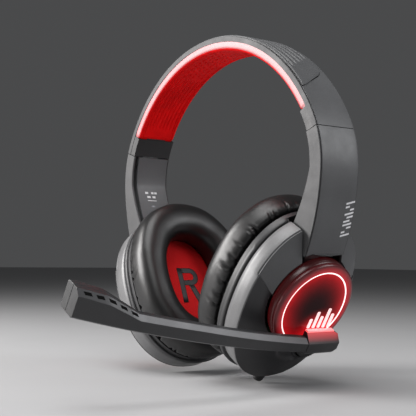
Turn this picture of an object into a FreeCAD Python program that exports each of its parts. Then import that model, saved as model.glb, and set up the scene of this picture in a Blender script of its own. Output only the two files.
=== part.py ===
"""Over-ear gaming headset with a swinging microphone boom.

Frame: millimetres, +Z up, wearer's left at +X, wearer's front at -Y. The origin is the middle of
the crown pad's underside, where the headset rests on the top of the head.
"""
import FreeCAD
import Part
import math
import os

Vector = FreeCAD.Vector
os.makedirs("parts", exist_ok=True)

# ---- headband arch: three tangent arcs in the XZ plane, mirrored about X = 0
CROWN_RADIUS = 102.6
SIDE_RADIUS = 60.3
ARM_RADIUS = 121.3
CROWN_ANGLE = 61.7        # degrees from vertical where the crown arc meets the side arc
SIDE_ANGLE = 93.1         # where the side arc meets the arm arc
BAND_DEPTH = 28.6         # front to back
BAND_HEIGHT = 8.3         # outer face to the pad's underside

# ---- headband layers, as depths below the outer face
SHELL_THICK = 1.2
STEEL_TOP = 1.3
STEEL_THICK = 0.8
FRAME_FLOOR_TOP = 2.2
FRAME_FLOOR = 3.2
FRAME_WALL = 1.5
FRAME_RIM = 0.5           # the frame's thin rim outside the shell's edge
PANEL_RISE = 0.6
PANEL_MARGIN = 1.2        # from the shell's front edge to the panel
PANEL_REAR_MARGIN = 4.4
PANEL_ANGLE = 56.0
STEEL_ANGLE = 46.0
PAD_ANGLE = 59.0
RIB_COUNT = 5
RIB_PITCH = 4.35
RIB_FIRST = -10.2         # Y of the front groove
RIB_GROOVE = 1.1

# ---- slider between the headband and each arm
SLIDER_JOINT_ANGLE = 70.3     # normal of the arch at the parting line, degrees from vertical
SLIDER_LEAN = 3.0             # the blade leans in from the tangent so that it stays in the band
BLADE_DEPTH = 5.8             # blade's outer face below the arch's outer face at the joint
BLADE_THICK = 1.2
BLADE_WIDTH = 12.0
BLADE_UP = 28.0
BLADE_DOWN = 14.0
BLADE_PLAY = 0.1
SPRING_THICK = 0.5
SPRING_WIDTH = 3.6
SLEEVE_WALL = 1.4
PARTING_GAP = 0.3

# ---- arms
ARM_TOP_HEIGHT = 9.1
ARM_END_ANGLE = 115.2         # degrees, on the arm arc
ARM_END_HEIGHT = 18.5
ARM_COVER_THICK = 1.2
INNER_PLATE_THICK = 1.6
INNER_PLATE_FRONT = 3.9       # inset from the arm's front edge
INNER_PLATE_REAR = 1.3

# ---- ear cups: oval sections in each cup's own frame (x forward or back, y up, z outward)
PIVOT = Vector(67.1, 1.1, -138.6)
TILT_LEFT = 30.0
TILT_RIGHT = 25.2
TILT_ARM = 27.6
CUP_YAW = 3.0
PIVOT_OUT = 17.1              # pivot's height above the cushion seam plane
PIVOT_UP = 13.2               # pivot's height above the cup's centre
CUP_HALF_WIDTH = 38.6
CUP_HALF_HEIGHT = 50.6
OVAL_POWER = 2.26
CUSHION_THICK = 21.6
CUSHION_MARGIN = 1.3          # how far the cushion stands outside the flange
CUSHION_LIP = 1.6             # height of the cushion's turned-over edge
CUSHION_HOLE_X = 19.6
CUSHION_HOLE_Y = 29.4
FLANGE_BOTTOM = 3.2
FLANGE_TOP = 6.1
SLEEVE_INSET = 1.2            # the dark grooves beside the flange are this deep
BEZEL_INSET = 2.3
WALL_BOTTOM = 7.3
WALL_TOP = 18.4
POST_BOTTOM = 2.5
POST_TOP = 13.0
WALL_THICK = 2.0
COVER_TOP = 24.5
DECK_BOTTOM = 22.6
DISC_UP = 6.1                 # disc centre above the cup's centre
BOSS_UP = 7.3                 # the boss leans: its foot is a little higher than the disc
BOSS_RADIUS = 27.3
BOSS_TOP = 28.9
NOTCH_HALF = 15.6             # the notch that the arm comes down into
NOTCH_SHIFT = 1.9             # the yawed cup meets the arm this far forward of its middle
NOTCH_FLOOR = 3.0

# ---- disc, light ring and turning collar
LENS_RADIUS = 21.5
LIGHT_RING_RADIUS = 22.6
COLLAR_INNER = 22.8
COLLAR_OUTER = 27.3
COLLAR_BOTTOM = 29.1
COLLAR_TOP = 32.3

# ---- hinge pin, screws
PIN_RADIUS = 2.0
PIN_PLAY = 0.06
TONGUE_WIDTH = 16.0
TONGUE_EYE = 4.4
PIN_HALF = 14.0
SCREW_RADIUS = 1.2
SCREW_HEAD = 2.3

# ---- microphone boom, in the left cup's frame
BOOM_OUTER_FACE = 39.5
BOOM_CURVE = 24.0             # how far the tip curves in towards the mouth
BOOM_RISE = 0.088             # slope of the bar above the disc's level
BOOM_ROOT_Y = -17.4
CASING_EDGE = 1.0             # small bevel on the bar's back and underside
SLOT_COUNT = 5
SLOT_PITCH = 6.2
FIRST_SLOT = 138.0

# ---- volume wheel
WHEEL_X = 21.0
WHEEL_Y = -24.0
WHEEL_RADIUS = 10.5
WHEEL_BOTTOM = 17.6
WHEEL_TOP = 22.4
WHEEL_TEETH = 40
WHEEL_BORE = 2.0

# ---- cable gland
GLAND_X = 2.0
GLAND_Z = 11.5
GLAND_BORE = 2.1
GLAND_RADIUS = 3.6


# ======================================================================== arch helpers
def arc_centres():
    """Centres of the crown, side and arm arcs on the +X side, as (x, z)."""
    crown = (0.0, BAND_HEIGHT - CROWN_RADIUS)
    first = math.radians(CROWN_ANGLE)
    second = math.radians(SIDE_ANGLE)
    step = CROWN_RADIUS - SIDE_RADIUS
    side = (crown[0] + step * math.sin(first), crown[1] + step * math.cos(first))
    step = SIDE_RADIUS - ARM_RADIUS
    arm = (side[0] + step * math.sin(second), side[1] + step * math.cos(second))
    return crown, side, arm


def arc_at(angle):
    """Centre and outer radius of the arc that a normal angle lies on."""
    crown, side, arm = arc_centres()
    if abs(angle) <= CROWN_ANGLE:
        return crown, CROWN_RADIUS
    if abs(angle) <= SIDE_ANGLE:
        return side, SIDE_RADIUS
    return arm, ARM_RADIUS


def point_on(arc, angle, depth):
    """Point at a normal angle in degrees and a depth below the outer face of one arc."""
    centre, radius = arc
    turn = math.radians(abs(angle))
    x = centre[0] + (radius - depth) * math.sin(turn)
    z = centre[1] + (radius - depth) * math.cos(turn)
    return Vector(math.copysign(x, angle), 0, z)


def arch_point(angle, depth):
    """Point on the arch at a normal angle, positive on the wearer's left."""
    return point_on(arc_at(angle), angle, depth)


def arch_edges(start, end, depth):
    """Arc edges of the arch from one normal angle to another, at one depth."""
    breaks = [-SIDE_ANGLE, -CROWN_ANGLE, CROWN_ANGLE, SIDE_ANGLE]
    stops = [start] + [angle for angle in breaks if start < angle < end] + [end]
    edges = []
    for low, high in zip(stops[:-1], stops[1:]):
        middle = 0.5 * (low + high)
        arc = arc_at(middle)
        points = [point_on(arc, angle, depth) for angle in (low, middle, high)]
        edges.append(Part.Arc(*points).toShape())
    return edges


def band_section(start, end, top, bottom, half_width, offset_y=0.0):
    """Solid between two depths of the arch, centred on Y = offset_y."""
    outer = arch_edges(start, end, top)
    inner = arch_edges(start, end, bottom)
    ends = [
        Part.makeLine(outer[-1].Vertexes[-1].Point, inner[-1].Vertexes[-1].Point),
        Part.makeLine(inner[0].Vertexes[0].Point, outer[0].Vertexes[0].Point),
    ]
    wire = Part.Wire(Part.__sortEdges__(outer + inner + ends))
    face = Part.Face(wire)
    face.translate(Vector(0, offset_y - half_width, 0))
    return face.extrude(Vector(0, 2 * half_width, 0))


def mirrored(shape):
    """The same part on the wearer's right."""
    return shape.mirror(Vector(0, 0, 0), Vector(1, 0, 0))


def fused(shapes):
    """One solid from touching or overlapping solids."""
    result = shapes[0].multiFuse(shapes[1:])
    return result.removeSplitter()


def cut_all(shape, tools):
    """The shape less every tool."""
    for tool in tools:
        shape = shape.cut(tool)
    return shape


def export(name, shape):
    """Write one node."""
    shape.exportStep("parts/" + name + ".step")


# ======================================================================== slider frame
SLIDE_ANGLE = SLIDER_JOINT_ANGLE - SLIDER_LEAN
SLIDE_DOWN = Vector(math.cos(math.radians(SLIDE_ANGLE)), 0, -math.sin(math.radians(SLIDE_ANGLE)))
SLIDE_INWARD = Vector(-math.sin(math.radians(SLIDE_ANGLE)), 0, -math.cos(math.radians(SLIDE_ANGLE)))


def slider_box(up, down, width, top, bottom):
    """Box along the slide axis: up and down from the parting line, depths from the blade's face."""
    joint = arch_point(SLIDER_JOINT_ANGLE, BLADE_DEPTH)
    box = Part.makeBox(up + down, width, bottom - top)
    box.translate(Vector(-up, -0.5 * width, top))
    across = SLIDE_INWARD.cross(SLIDE_DOWN)
    matrix = FreeCAD.Matrix(
        SLIDE_DOWN.x, across.x, SLIDE_INWARD.x, joint.x,
        SLIDE_DOWN.y, across.y, SLIDE_INWARD.y, joint.y,
        SLIDE_DOWN.z, across.z, SLIDE_INWARD.z, joint.z,
        0, 0, 0, 1)
    box.Placement = FreeCAD.Placement(matrix).multiply(box.Placement)
    return box


def blade_box(play, up=BLADE_UP, down=BLADE_DOWN):
    """The blade's own box, grown by the play on every side."""
    return slider_box(up + play, down + play, BLADE_WIDTH + 2 * play, -play, BLADE_THICK + play)


def radial_cylinder(angle, y, radius, top, bottom):
    """Cylinder along the arch's normal, between two depths."""
    start = arch_point(angle, top)
    stop = arch_point(angle, bottom)
    start.y = y
    stop.y = y
    return Part.makeCylinder(radius, (stop - start).Length, start, stop - start)


def band_screw(angle, y, head_depth, tip_depth):
    """Pan-head screw driven outwards from the inner face of the arch."""
    head = radial_cylinder(angle, y, SCREW_HEAD, head_depth - 1.2, head_depth)
    shank = radial_cylinder(angle, y, SCREW_RADIUS, tip_depth, head_depth - 1.0)
    return fused([head, shank])


# ======================================================================== headband
def build_panel(half):
    """Ribbed panel: plain ends with a grooved middle between them."""
    panel_half = half - 0.5 * (PANEL_MARGIN + PANEL_REAR_MARGIN)
    shift = 0.5 * (PANEL_MARGIN - PANEL_REAR_MARGIN)
    groove_angle = 0.86 * PANEL_ANGLE
    middle = band_section(-groove_angle, groove_angle, -PANEL_RISE, 0.0, panel_half, shift)
    for index in range(RIB_COUNT):
        y = RIB_FIRST + index * RIB_PITCH
        groove = band_section(-PANEL_ANGLE, PANEL_ANGLE, -PANEL_RISE - 0.1, -0.5 * PANEL_RISE,
                              0.5 * RIB_GROOVE, y)
        middle = middle.cut(groove)
    left_end = band_section(groove_angle, PANEL_ANGLE, -PANEL_RISE, 0.0, panel_half, shift)
    right_end = band_section(-PANEL_ANGLE, -groove_angle, -PANEL_RISE, 0.0, panel_half, shift)
    return middle.multiFuse([left_end, right_end])


def build_headband():
    """Everything that stays with the band."""
    joint = SLIDER_JOINT_ANGLE
    half = 0.5 * BAND_DEPTH
    blade_way = blade_box(BLADE_PLAY, up=BLADE_UP + 1.0, down=BLADE_DOWN)
    guide_limits = band_section(PAD_ANGLE - 9.0, joint, STEEL_TOP, BAND_HEIGHT, half)
    sleeve = slider_box(BLADE_UP + 2.0, 2.0, BLADE_WIDTH + 2 * SLEEVE_WALL,
                        -SLEEVE_WALL, BLADE_THICK + SLEEVE_WALL)
    sleeve = sleeve.common(guide_limits)
    sleeves = [sleeve, mirrored(sleeve)]

    shell = band_section(-joint, joint, 0.0, SHELL_THICK, half - FRAME_RIM)
    panel = build_panel(half)

    frame = band_section(-joint, joint, 0.0, FRAME_FLOOR, half)
    shell_seat = band_section(-joint - 1, joint + 1, -1.0, SHELL_THICK, half - FRAME_RIM)
    steel_seat = band_section(-joint - 1, joint + 1, 0.0, FRAME_FLOOR_TOP, half - FRAME_WALL)
    frame = cut_all(frame, [shell_seat, steel_seat])
    frame = cut_all(frame, sleeves)
    steel = band_section(-STEEL_ANGLE, STEEL_ANGLE, STEEL_TOP, STEEL_TOP + STEEL_THICK, 9.0)

    pad = band_section(-PAD_ANGLE, PAD_ANGLE, FRAME_FLOOR, BAND_HEIGHT, half - 0.2)
    pad = cut_all(pad, sleeves)

    guide = band_section(PAD_ANGLE, joint, FRAME_FLOOR, BAND_HEIGHT, half - 0.2)
    guide = fused([guide, sleeve])
    guide = guide.cut(blade_way)
    spring_top = BLADE_THICK + 0.35
    spring_bottom = spring_top + SPRING_THICK
    spring_way = slider_box(12.0, -3.0, SPRING_WIDTH + 0.4, BLADE_THICK + BLADE_PLAY, spring_bottom)
    guide = guide.cut(spring_way)
    spring = slider_box(11.5, -3.5, SPRING_WIDTH, spring_top, spring_bottom)
    springs = Part.makeCompound([spring, mirrored(spring)])

    screws = []
    for y in (-10.4, 10.4):
        screw = band_screw(PAD_ANGLE + 5.5, y, BAND_HEIGHT, FRAME_FLOOR_TOP + 0.1)
        screws.append(screw)
        screws.append(mirrored(screw))
    guide = cut_all(guide, screws)
    frame = cut_all(frame, screws)

    export("headband_outer_shell", shell)
    export("headband_rib_panel", panel)
    export("headband_frame", frame)
    export("headband_pad", pad)
    export("spring_steel_band", steel)
    export("slider_guide_left", guide)
    export("slider_guide_right", mirrored(guide))
    export("detent_springs", springs)
    export("headband_screws", Part.makeCompound(screws))


# ======================================================================== arms
def arm_height(angle):
    """Depth of the arm's inner face below its outer face."""
    if angle <= SIDE_ANGLE:
        return ARM_TOP_HEIGHT
    share = (angle - SIDE_ANGLE) / (ARM_END_ANGLE - SIDE_ANGLE)
    return ARM_TOP_HEIGHT + share * (ARM_END_HEIGHT - ARM_TOP_HEIGHT)


def arm_section(start, end, top, inset, half_width):
    """Arm solid from a depth below the outer face to an inset above the tapering inner face."""
    outer = arch_edges(start, end, top)
    count = 9
    points = []
    for index in range(count):
        angle = start + (end - start) * index / (count - 1)
        points.append(arch_point(angle, arm_height(angle) - inset))
    curve = Part.BSplineCurve()
    curve.interpolate(points)
    inner = curve.toShape()
    ends = [
        Part.makeLine(outer[-1].Vertexes[-1].Point, points[-1]),
        Part.makeLine(points[0], outer[0].Vertexes[0].Point),
    ]
    wire = Part.Wire(Part.__sortEdges__(outer + [inner] + ends))
    face = Part.Face(wire)
    face.translate(Vector(0, -half_width, 0))
    return face.extrude(Vector(0, 2 * half_width, 0))


def build_arms():
    """The left arm, and its mirror image."""
    start = SLIDER_JOINT_ANGLE + math.degrees(PARTING_GAP / SIDE_RADIUS)
    half = 0.5 * BAND_DEPTH
    plate_start = start + 3.0
    plate_end = ARM_END_ANGLE - 9.0
    blade = blade_box(0.0)

    cover = arm_section(start, ARM_END_ANGLE, 0.0, 0.0, half)
    below_cover = arm_section(start - 1, ARM_END_ANGLE + 1, ARM_COVER_THICK, -1.0, half + 1)
    cover = cover.cut(below_cover)

    frame = arm_section(start, ARM_END_ANGLE, ARM_COVER_THICK, 0.0, half)
    plate_half = half - 0.5 * (INNER_PLATE_FRONT + INNER_PLATE_REAR)
    plate_shift = Vector(0, 0.5 * (INNER_PLATE_FRONT - INNER_PLATE_REAR), 0)
    plate_block = band_section(plate_start, plate_end, ARM_COVER_THICK, 30.0, plate_half)
    plate_zone = arm_section(plate_start, plate_end, ARM_COVER_THICK, INNER_PLATE_THICK, plate_half)
    pocket = plate_block.cut(plate_zone)
    pocket.translate(plate_shift)
    frame = frame.cut(pocket)
    wire_way = arm_section(plate_start + 15, plate_end - 3, 3.4, INNER_PLATE_THICK + 1.5, 4.0)
    frame = frame.cut(wire_way)
    frame = frame.cut(blade)

    plate = arm_section(plate_start, plate_end, ARM_COVER_THICK, 0.0, plate_half - 0.5)
    keep_out = arm_section(plate_start - 1, plate_end + 1, 0.0, INNER_PLATE_THICK - 0.1, half)
    plate = plate.cut(keep_out)
    trim = band_section(plate_start + 0.5, plate_end - 0.5, 0.0, 30.0, half)
    plate = plate.common(trim)
    plate.translate(plate_shift)

    screws = []
    for angle, y in ((plate_start + 4.5, -8.6), (plate_start + 4.5, 8.6), (plate_end - 5.0, 0.0)):
        height = arm_height(angle)
        screws.append(band_screw(angle, y, height, height - 6.0))
    plate = cut_all(plate, screws)
    frame = cut_all(frame, screws)

    tongue = build_tongue()
    frame = frame.cut(tongue)
    pieces = {
        "arm_outer_cover": cover,
        "arm_side_frame": frame,
        "arm_inner_plate": plate,
        "slider_blade": blade,
        "pivot_tongue": tongue,
        "arm_screws": Part.makeCompound(screws),
    }
    for name, shape in pieces.items():
        export(name + "_left", shape)
        export(name + "_right", mirrored(shape))


# ======================================================================== cup frames
def cup_placement(side, tilt, yaw=CUP_YAW):
    """Placement of a cup's own frame: x across, y up, z outward, origin at the cushion seam."""
    lean = math.radians(tilt)
    turn = math.radians(yaw)
    forwards = math.sin(turn)
    sideways = side * math.cos(turn)
    outward = Vector(math.cos(lean) * sideways, math.cos(lean) * forwards, -math.sin(lean))
    upward = Vector(math.sin(lean) * sideways, math.sin(lean) * forwards, math.cos(lean))
    across = upward.cross(outward)
    pivot = Vector(side * PIVOT.x, PIVOT.y, PIVOT.z)
    centre = pivot - outward * PIVOT_OUT - upward * PIVOT_UP
    matrix = FreeCAD.Matrix(
        across.x, upward.x, outward.x, centre.x,
        across.y, upward.y, outward.y, centre.y,
        across.z, upward.z, outward.z, centre.z,
        0, 0, 0, 1)
    return FreeCAD.Placement(matrix)


def placed(shape, placement):
    """A copy of a shape moved from a cup's frame to the headset's frame."""
    copy = shape.copy()
    copy.Placement = placement.multiply(copy.Placement)
    return copy


def cross_cylinder(radius, half_length):
    """Cylinder on a cup's hinge axis, centred on the pivot."""
    start = Vector(-half_length, PIVOT_UP, PIVOT_OUT)
    return Part.makeCylinder(radius, 2 * half_length, start, Vector(1, 0, 0))


def build_tongue():
    """Pivot tongue in the headset's frame, on the left arm."""
    half = 0.5 * TONGUE_WIDTH
    bar = block(-half, half, PIVOT_UP, PIVOT_UP + 34.0, PIVOT_OUT - 2.0, PIVOT_OUT + 2.0)
    eye = cross_cylinder(TONGUE_EYE, half)
    hole = cross_cylinder(PIN_RADIUS + PIN_PLAY, half + 2.0)
    root = block(-half - 2.0, half + 2.0, PIVOT_UP + 26.0, PIVOT_UP + 34.0, PIVOT_OUT - 3.0, PIVOT_OUT + 3.0)
    tongue = fused([bar, eye, root]).cut(hole)
    return placed(tongue, cup_placement(1, TILT_ARM))


# ======================================================================== cup sections
def oval_wire(half_x, half_y, z, centre_y=0.0, power=OVAL_POWER):
    """Closed smooth superellipse at a height."""
    count = 32
    points = []
    for index in range(count):
        turn = 2 * math.pi * index / count
        cosine = math.cos(turn)
        sine = math.sin(turn)
        x = math.copysign(abs(cosine) ** (2 / power), cosine) * half_x
        y = math.copysign(abs(sine) ** (2 / power), sine) * half_y
        points.append(Vector(x, y + centre_y, z))
    curve = Part.BSplineCurve()
    curve.interpolate(points, PeriodicFlag=True)
    return Part.Wire(curve.toShape())


def oval_prism(half_x, half_y, low, high):
    """Straight solid with an oval outline."""
    face = Part.Face(oval_wire(half_x, half_y, low))
    return face.extrude(Vector(0, 0, high - low))


def oval_ring(outer_x, outer_y, inner_x, inner_y, low, high):
    """Oval plate with an oval hole."""
    return oval_prism(outer_x, outer_y, low, high).cut(oval_prism(inner_x, inner_y, low - 1, high + 1))


def disc(radius, low, high, x=0.0, y=0.0):
    """Cylinder along a cup's z axis."""
    return Part.makeCylinder(radius, high - low, Vector(x, y, low))


def ring(outer, inner, low, high, x=0.0, y=0.0):
    """Flat ring along a cup's z axis."""
    return disc(outer, low, high, x, y).cut(disc(inner, low - 1, high + 1, x, y))


def block(x_low, x_high, y_low, y_high, z_low, z_high):
    """Box between two corners."""
    return Part.makeBox(x_high - x_low, y_high - y_low, z_high - z_low, Vector(x_low, y_low, z_low))


def revolved(profile, centre_y=0.0):
    """Solid of revolution about a cup's z axis from (radius, z) corners."""
    points = [Vector(radius, 0, z) for radius, z in profile]
    face = Part.Face(Part.makePolygon(points + points[:1]))
    solid = face.revolve(Vector(0, 0, 0), Vector(0, 0, 1), 360)
    solid.translate(Vector(0, centre_y, 0))
    return solid


def cup_screws():
    """Four screws that clamp the baffle to the wall's posts."""
    screws = []
    for x in (-26.5, 26.5):
        for y in (-30.0, 30.0):
            head = disc(SCREW_HEAD, 0.2, 1.3, x, y)
            shank = disc(SCREW_RADIUS, 1.2, 11.5, x, y)
            screws.append(fused([head, shank]))
    return screws


def arm_notch(side, y_low, z_low):
    """Block that clears the arm's end in a cup's own frame."""
    middle = -side * NOTCH_SHIFT
    return block(middle - NOTCH_HALF, middle + NOTCH_HALF, y_low, 60.0, z_low, 40.0)


def bezel_ring(side):
    """Flange that shows between two dark grooves, on the sleeve that carries the cup's wall."""
    inner_x = CUP_HALF_WIDTH - BEZEL_INSET
    inner_y = CUP_HALF_HEIGHT - BEZEL_INSET
    sleeve = oval_ring(CUP_HALF_WIDTH - SLEEVE_INSET, CUP_HALF_HEIGHT - SLEEVE_INSET, inner_x, inner_y,
                       0.0, WALL_BOTTOM)
    flange = oval_ring(CUP_HALF_WIDTH, CUP_HALF_HEIGHT, inner_x, inner_y, FLANGE_BOTTOM, FLANGE_TOP)
    return fused([sleeve, flange]).cut(arm_notch(side, 30.0, NOTCH_FLOOR))


def ear_cushion():
    """Padded ring whose outer edge turns over the rim of the baffle."""
    outer_x = CUP_HALF_WIDTH + CUSHION_MARGIN
    outer_y = CUP_HALF_HEIGHT + CUSHION_MARGIN
    body = oval_ring(outer_x, outer_y, CUSHION_HOLE_X, CUSHION_HOLE_Y, -CUSHION_THICK - 0.3, -0.3)
    lip = oval_ring(outer_x, outer_y, CUP_HALF_WIDTH - 0.9, CUP_HALF_HEIGHT - 0.9, -0.4, CUSHION_LIP)
    return fused([body, lip])


def cup_wall(screws, side):
    """Side wall of the cup with its screw posts and the notch for the arm."""
    outer = Part.makeLoft([
        oval_wire(CUP_HALF_WIDTH - 0.3, CUP_HALF_HEIGHT - 0.4, WALL_BOTTOM),
        oval_wire(CUP_HALF_WIDTH, CUP_HALF_HEIGHT - 1.3, WALL_TOP, 1.0)], True, True)
    inner = Part.makeLoft([
        oval_wire(CUP_HALF_WIDTH - 0.3 - WALL_THICK, CUP_HALF_HEIGHT - 0.4 - WALL_THICK, WALL_BOTTOM),
        oval_wire(CUP_HALF_WIDTH - WALL_THICK, CUP_HALF_HEIGHT - 1.3 - WALL_THICK, WALL_TOP, 1.0)],
        True, True)
    wall = outer.cut(inner)
    posts = []
    for x in (-26.5, 26.5):
        for y in (-30.0, 30.0):
            web = block(min(x, x * 1.35), max(x, x * 1.35), y - 1.0, y + 1.0, WALL_BOTTOM, POST_TOP)
            posts.append(disc(2.8, POST_BOTTOM, POST_TOP, x, y))
            posts.append(web.common(outer))
    wall = fused([wall] + posts)
    return cut_all(wall.cut(arm_notch(side, 30.0, NOTCH_FLOOR)), screws)


def cup_cover(side):
    """Outer face of the cup: sloping skirt, deck and hinge lugs."""
    outer = Part.makeLoft([
        oval_wire(CUP_HALF_WIDTH, CUP_HALF_HEIGHT - 1.3, WALL_TOP, 1.0),
        oval_wire(BOSS_RADIUS + 1.0, BOSS_RADIUS + 1.0, COVER_TOP, BOSS_UP, 2.0)], True, True)
    inner = Part.makeLoft([
        oval_wire(CUP_HALF_WIDTH - WALL_THICK, CUP_HALF_HEIGHT - 1.3 - WALL_THICK, WALL_TOP, 1.0),
        oval_wire(BOSS_RADIUS - 1.4, BOSS_RADIUS - 1.4, DECK_BOTTOM, BOSS_UP, 2.0)], True, True)
    cover = outer.cut(inner)
    cover = cover.cut(arm_notch(side, BOSS_UP + BOSS_RADIUS - 0.4, NOTCH_FLOOR))
    for x_low, x_high in ((-14.0, -9.0), (9.0, 14.0)):
        lug = block(x_low, x_high, PIVOT_UP - 4.5, PIVOT_UP + 4.5, 12.6, DECK_BOTTOM + 0.5)
        cover = fused([cover, lug])
    return cover.cut(cross_cylinder(PIN_RADIUS + 0.02, PIN_HALF + 6.0))


def boss_ring():
    """Glossy ring whose foot is set a little higher than the disc, open in the middle."""
    outer = Part.makeLoft([
        Part.Wire(Part.makeCircle(BOSS_RADIUS, Vector(0, BOSS_UP, COVER_TOP + 0.1))),
        Part.Wire(Part.makeCircle(BOSS_RADIUS, Vector(0, DISC_UP, BOSS_TOP)))], True, True)
    inside = disc(BOSS_RADIUS - 3.2, COVER_TOP - 1.0, BOSS_TOP - 1.5, 0.0, DISC_UP)
    opening = disc(COLLAR_INNER, COVER_TOP - 1.0, BOSS_TOP + 1.0, 0.0, DISC_UP)
    return outer.cut(inside).cut(opening)


def build_cups():
    """Both ear cups. The left one also carries the board, the wheel and the gland."""
    screws = cup_screws()
    baffle = oval_prism(CUP_HALF_WIDTH - 2.5, CUP_HALF_HEIGHT - 2.5, 0.2, 2.4)
    baffle = cut_all(baffle.cut(disc(20.3, -1, 4)), screws)
    cushion = ear_cushion()
    cloth = oval_prism(CUSHION_HOLE_X - 0.4, CUSHION_HOLE_Y - 0.4, -2.6, -1.8)
    basket = revolved([(18.4, -0.2), (20.1, -0.2), (20.1, 3.2), (13.6, 6.0), (10.0, 6.0), (10.0, 5.0),
                       (13.0, 5.0), (18.4, 2.4)])
    diaphragm = revolved([(0.0, 0.9), (7.0, 0.2), (18.2, 0.2), (18.2, 0.5), (7.2, 0.5), (0.0, 1.2)])
    magnet = disc(12.0, 6.1, 10.6)
    boss = boss_ring()
    board = disc(21.8, 26.0, 27.4, 0.0, DISC_UP)
    light = ring(LIGHT_RING_RADIUS, LENS_RADIUS + 0.05, 27.5, 31.9, 0.0, DISC_UP)
    lens = disc(LENS_RADIUS, 30.0, 31.5, 0.0, DISC_UP)
    collar = revolved([(COLLAR_INNER, COLLAR_BOTTOM), (COLLAR_OUTER, COLLAR_BOTTOM),
                       (COLLAR_OUTER, COLLAR_TOP - 1.2), (COLLAR_OUTER - 1.4, COLLAR_TOP - 0.3),
                       (COLLAR_INNER, COLLAR_TOP)], DISC_UP)
    pin = cross_cylinder(PIN_RADIUS, PIN_HALF)

    left = cup_placement(1, TILT_LEFT)
    right = cup_placement(-1, TILT_RIGHT)
    wheel_way = disc(WHEEL_RADIUS + 0.6, WHEEL_BOTTOM - 0.5, WHEEL_TOP + 0.5, WHEEL_X, WHEEL_Y)
    gland_way = gland_cylinder(GLAND_RADIUS - 0.45, 40.0, 60.0)
    left_wall = cut_all(cup_wall(screws, 1), [wheel_way, gland_way])
    left_cover = cup_cover(1).cut(wheel_way)
    shared = {
        "ear_cushion": cushion,
        "ear_cloth": cloth,
        "speaker_baffle": baffle,
        "driver_basket": basket,
        "driver_diaphragm": diaphragm,
        "driver_magnet": magnet,
        "boss_ring": boss,
        "led_board": board,
        "light_ring": light,
        "lens_disc": lens,
        "hinge_pin": pin,
        "cup_screws": Part.makeCompound(screws),
    }
    for name, shape in shared.items():
        export(name + "_left", placed(shape, left))
        export(name + "_right", placed(shape, right))
    export("bezel_ring_left", placed(bezel_ring(1), left))
    export("bezel_ring_right", placed(bezel_ring(-1), right))
    export("cup_wall_left", placed(left_wall, left))
    export("cup_wall_right", placed(cup_wall(screws, -1), right))
    export("cup_cover_left", placed(left_cover, left))
    export("cup_cover_right", placed(cup_cover(-1), right))
    export("trim_ring_right", placed(collar, right))
    export("boom_collar", placed(collar, left))
    export("cable_gland", placed(build_gland(), left))
    export("main_board", placed(build_board(), left))
    export("volume_wheel", placed(build_wheel(), left))
    build_boom(left)


# ======================================================================== left cup extras
def gland_cylinder(radius, start, end):
    """Cylinder along the gland's axis, which points straight down out of the left cup."""
    return Part.makeCylinder(radius, end - start, Vector(GLAND_X, -start, GLAND_Z), Vector(0, -1, 0))


def build_gland():
    """Rubber gland with a flange inside and out, held in the wall."""
    body = gland_cylinder(GLAND_RADIUS - 0.6, 46.0, 55.5)
    outer_flange = gland_cylinder(GLAND_RADIUS, 50.6, 52.6)
    inner_flange = gland_cylinder(GLAND_RADIUS, 45.0, 46.3)
    return fused([body, outer_flange, inner_flange]).cut(gland_cylinder(GLAND_BORE, 40.0, 60.0))


def build_board():
    """Main board with the volume potentiometer's post."""
    plate = block(-12.0, 31.0, -36.0, -18.5, 9.0, 10.4)
    post = disc(1.95, 10.0, WHEEL_TOP, WHEEL_X, WHEEL_Y)
    body = disc(5.0, 10.0, 14.6, WHEEL_X, WHEEL_Y)
    posts_clear = fused([disc(3.2, 3.0, 14.0, 26.5, -30.0), block(26.5, 40.0, -31.4, -28.6, 3.0, 14.0)])
    inside_wall = oval_prism(CUP_HALF_WIDTH - 2 * WALL_THICK, CUP_HALF_HEIGHT - 2 * WALL_THICK, 3.0, 14.0)
    plate = plate.common(inside_wall).cut(posts_clear)
    return fused([plate, post, body.cut(posts_clear)])


def build_wheel():
    """Knurled thumbwheel with a bore that runs on the potentiometer's post."""
    points = []
    for index in range(2 * WHEEL_TEETH):
        turn = math.pi * index / WHEEL_TEETH
        radius = WHEEL_RADIUS if index % 2 == 0 else WHEEL_RADIUS - 0.7
        x = WHEEL_X + radius * math.cos(turn)
        y = WHEEL_Y + radius * math.sin(turn)
        points.append(Vector(x, y, WHEEL_BOTTOM))
    face = Part.Face(Part.makePolygon(points + points[:1]))
    wheel = face.extrude(Vector(0, 0, WHEEL_TOP - WHEEL_BOTTOM))
    return wheel.cut(disc(WHEEL_BORE, 0.0, 30.0, WHEEL_X, WHEEL_Y))


# ======================================================================== boom
# stations along the bar: distance forward, face height, chamfer up, chamfer in, thickness
BOOM_STATIONS = (
    (1.8, 4.9, 2.1, 3.2, 7.0),
    (25.0, 5.4, 2.1, 3.2, 6.6),
    (38.0, 5.6, 2.1, 3.1, 6.8),
    (76.0, 6.3, 2.0, 3.0, 6.8),
    (110.0, 5.8, 2.4, 3.0, 7.2),
    (127.0, 10.6, 3.4, 3.0, 10.5),
    (140.0, 11.4, 3.0, 3.0, 12.0),
    (143.0, 11.2, 2.9, 3.0, 11.8),
)


def boom_outline(station):
    """Key sizes of the bar at one station: outer face z, bottom y, shoulder y, top y."""
    forward, face_height, chamfer_up, chamfer_in, thickness = station
    bend = max(0.0, forward - 10.0) / 135.0
    outer = BOOM_OUTER_FACE - BOOM_CURVE * bend * bend
    bottom = BOOM_ROOT_Y + BOOM_RISE * forward
    shoulder = bottom + face_height
    return outer, bottom, shoulder, shoulder + chamfer_up


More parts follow.
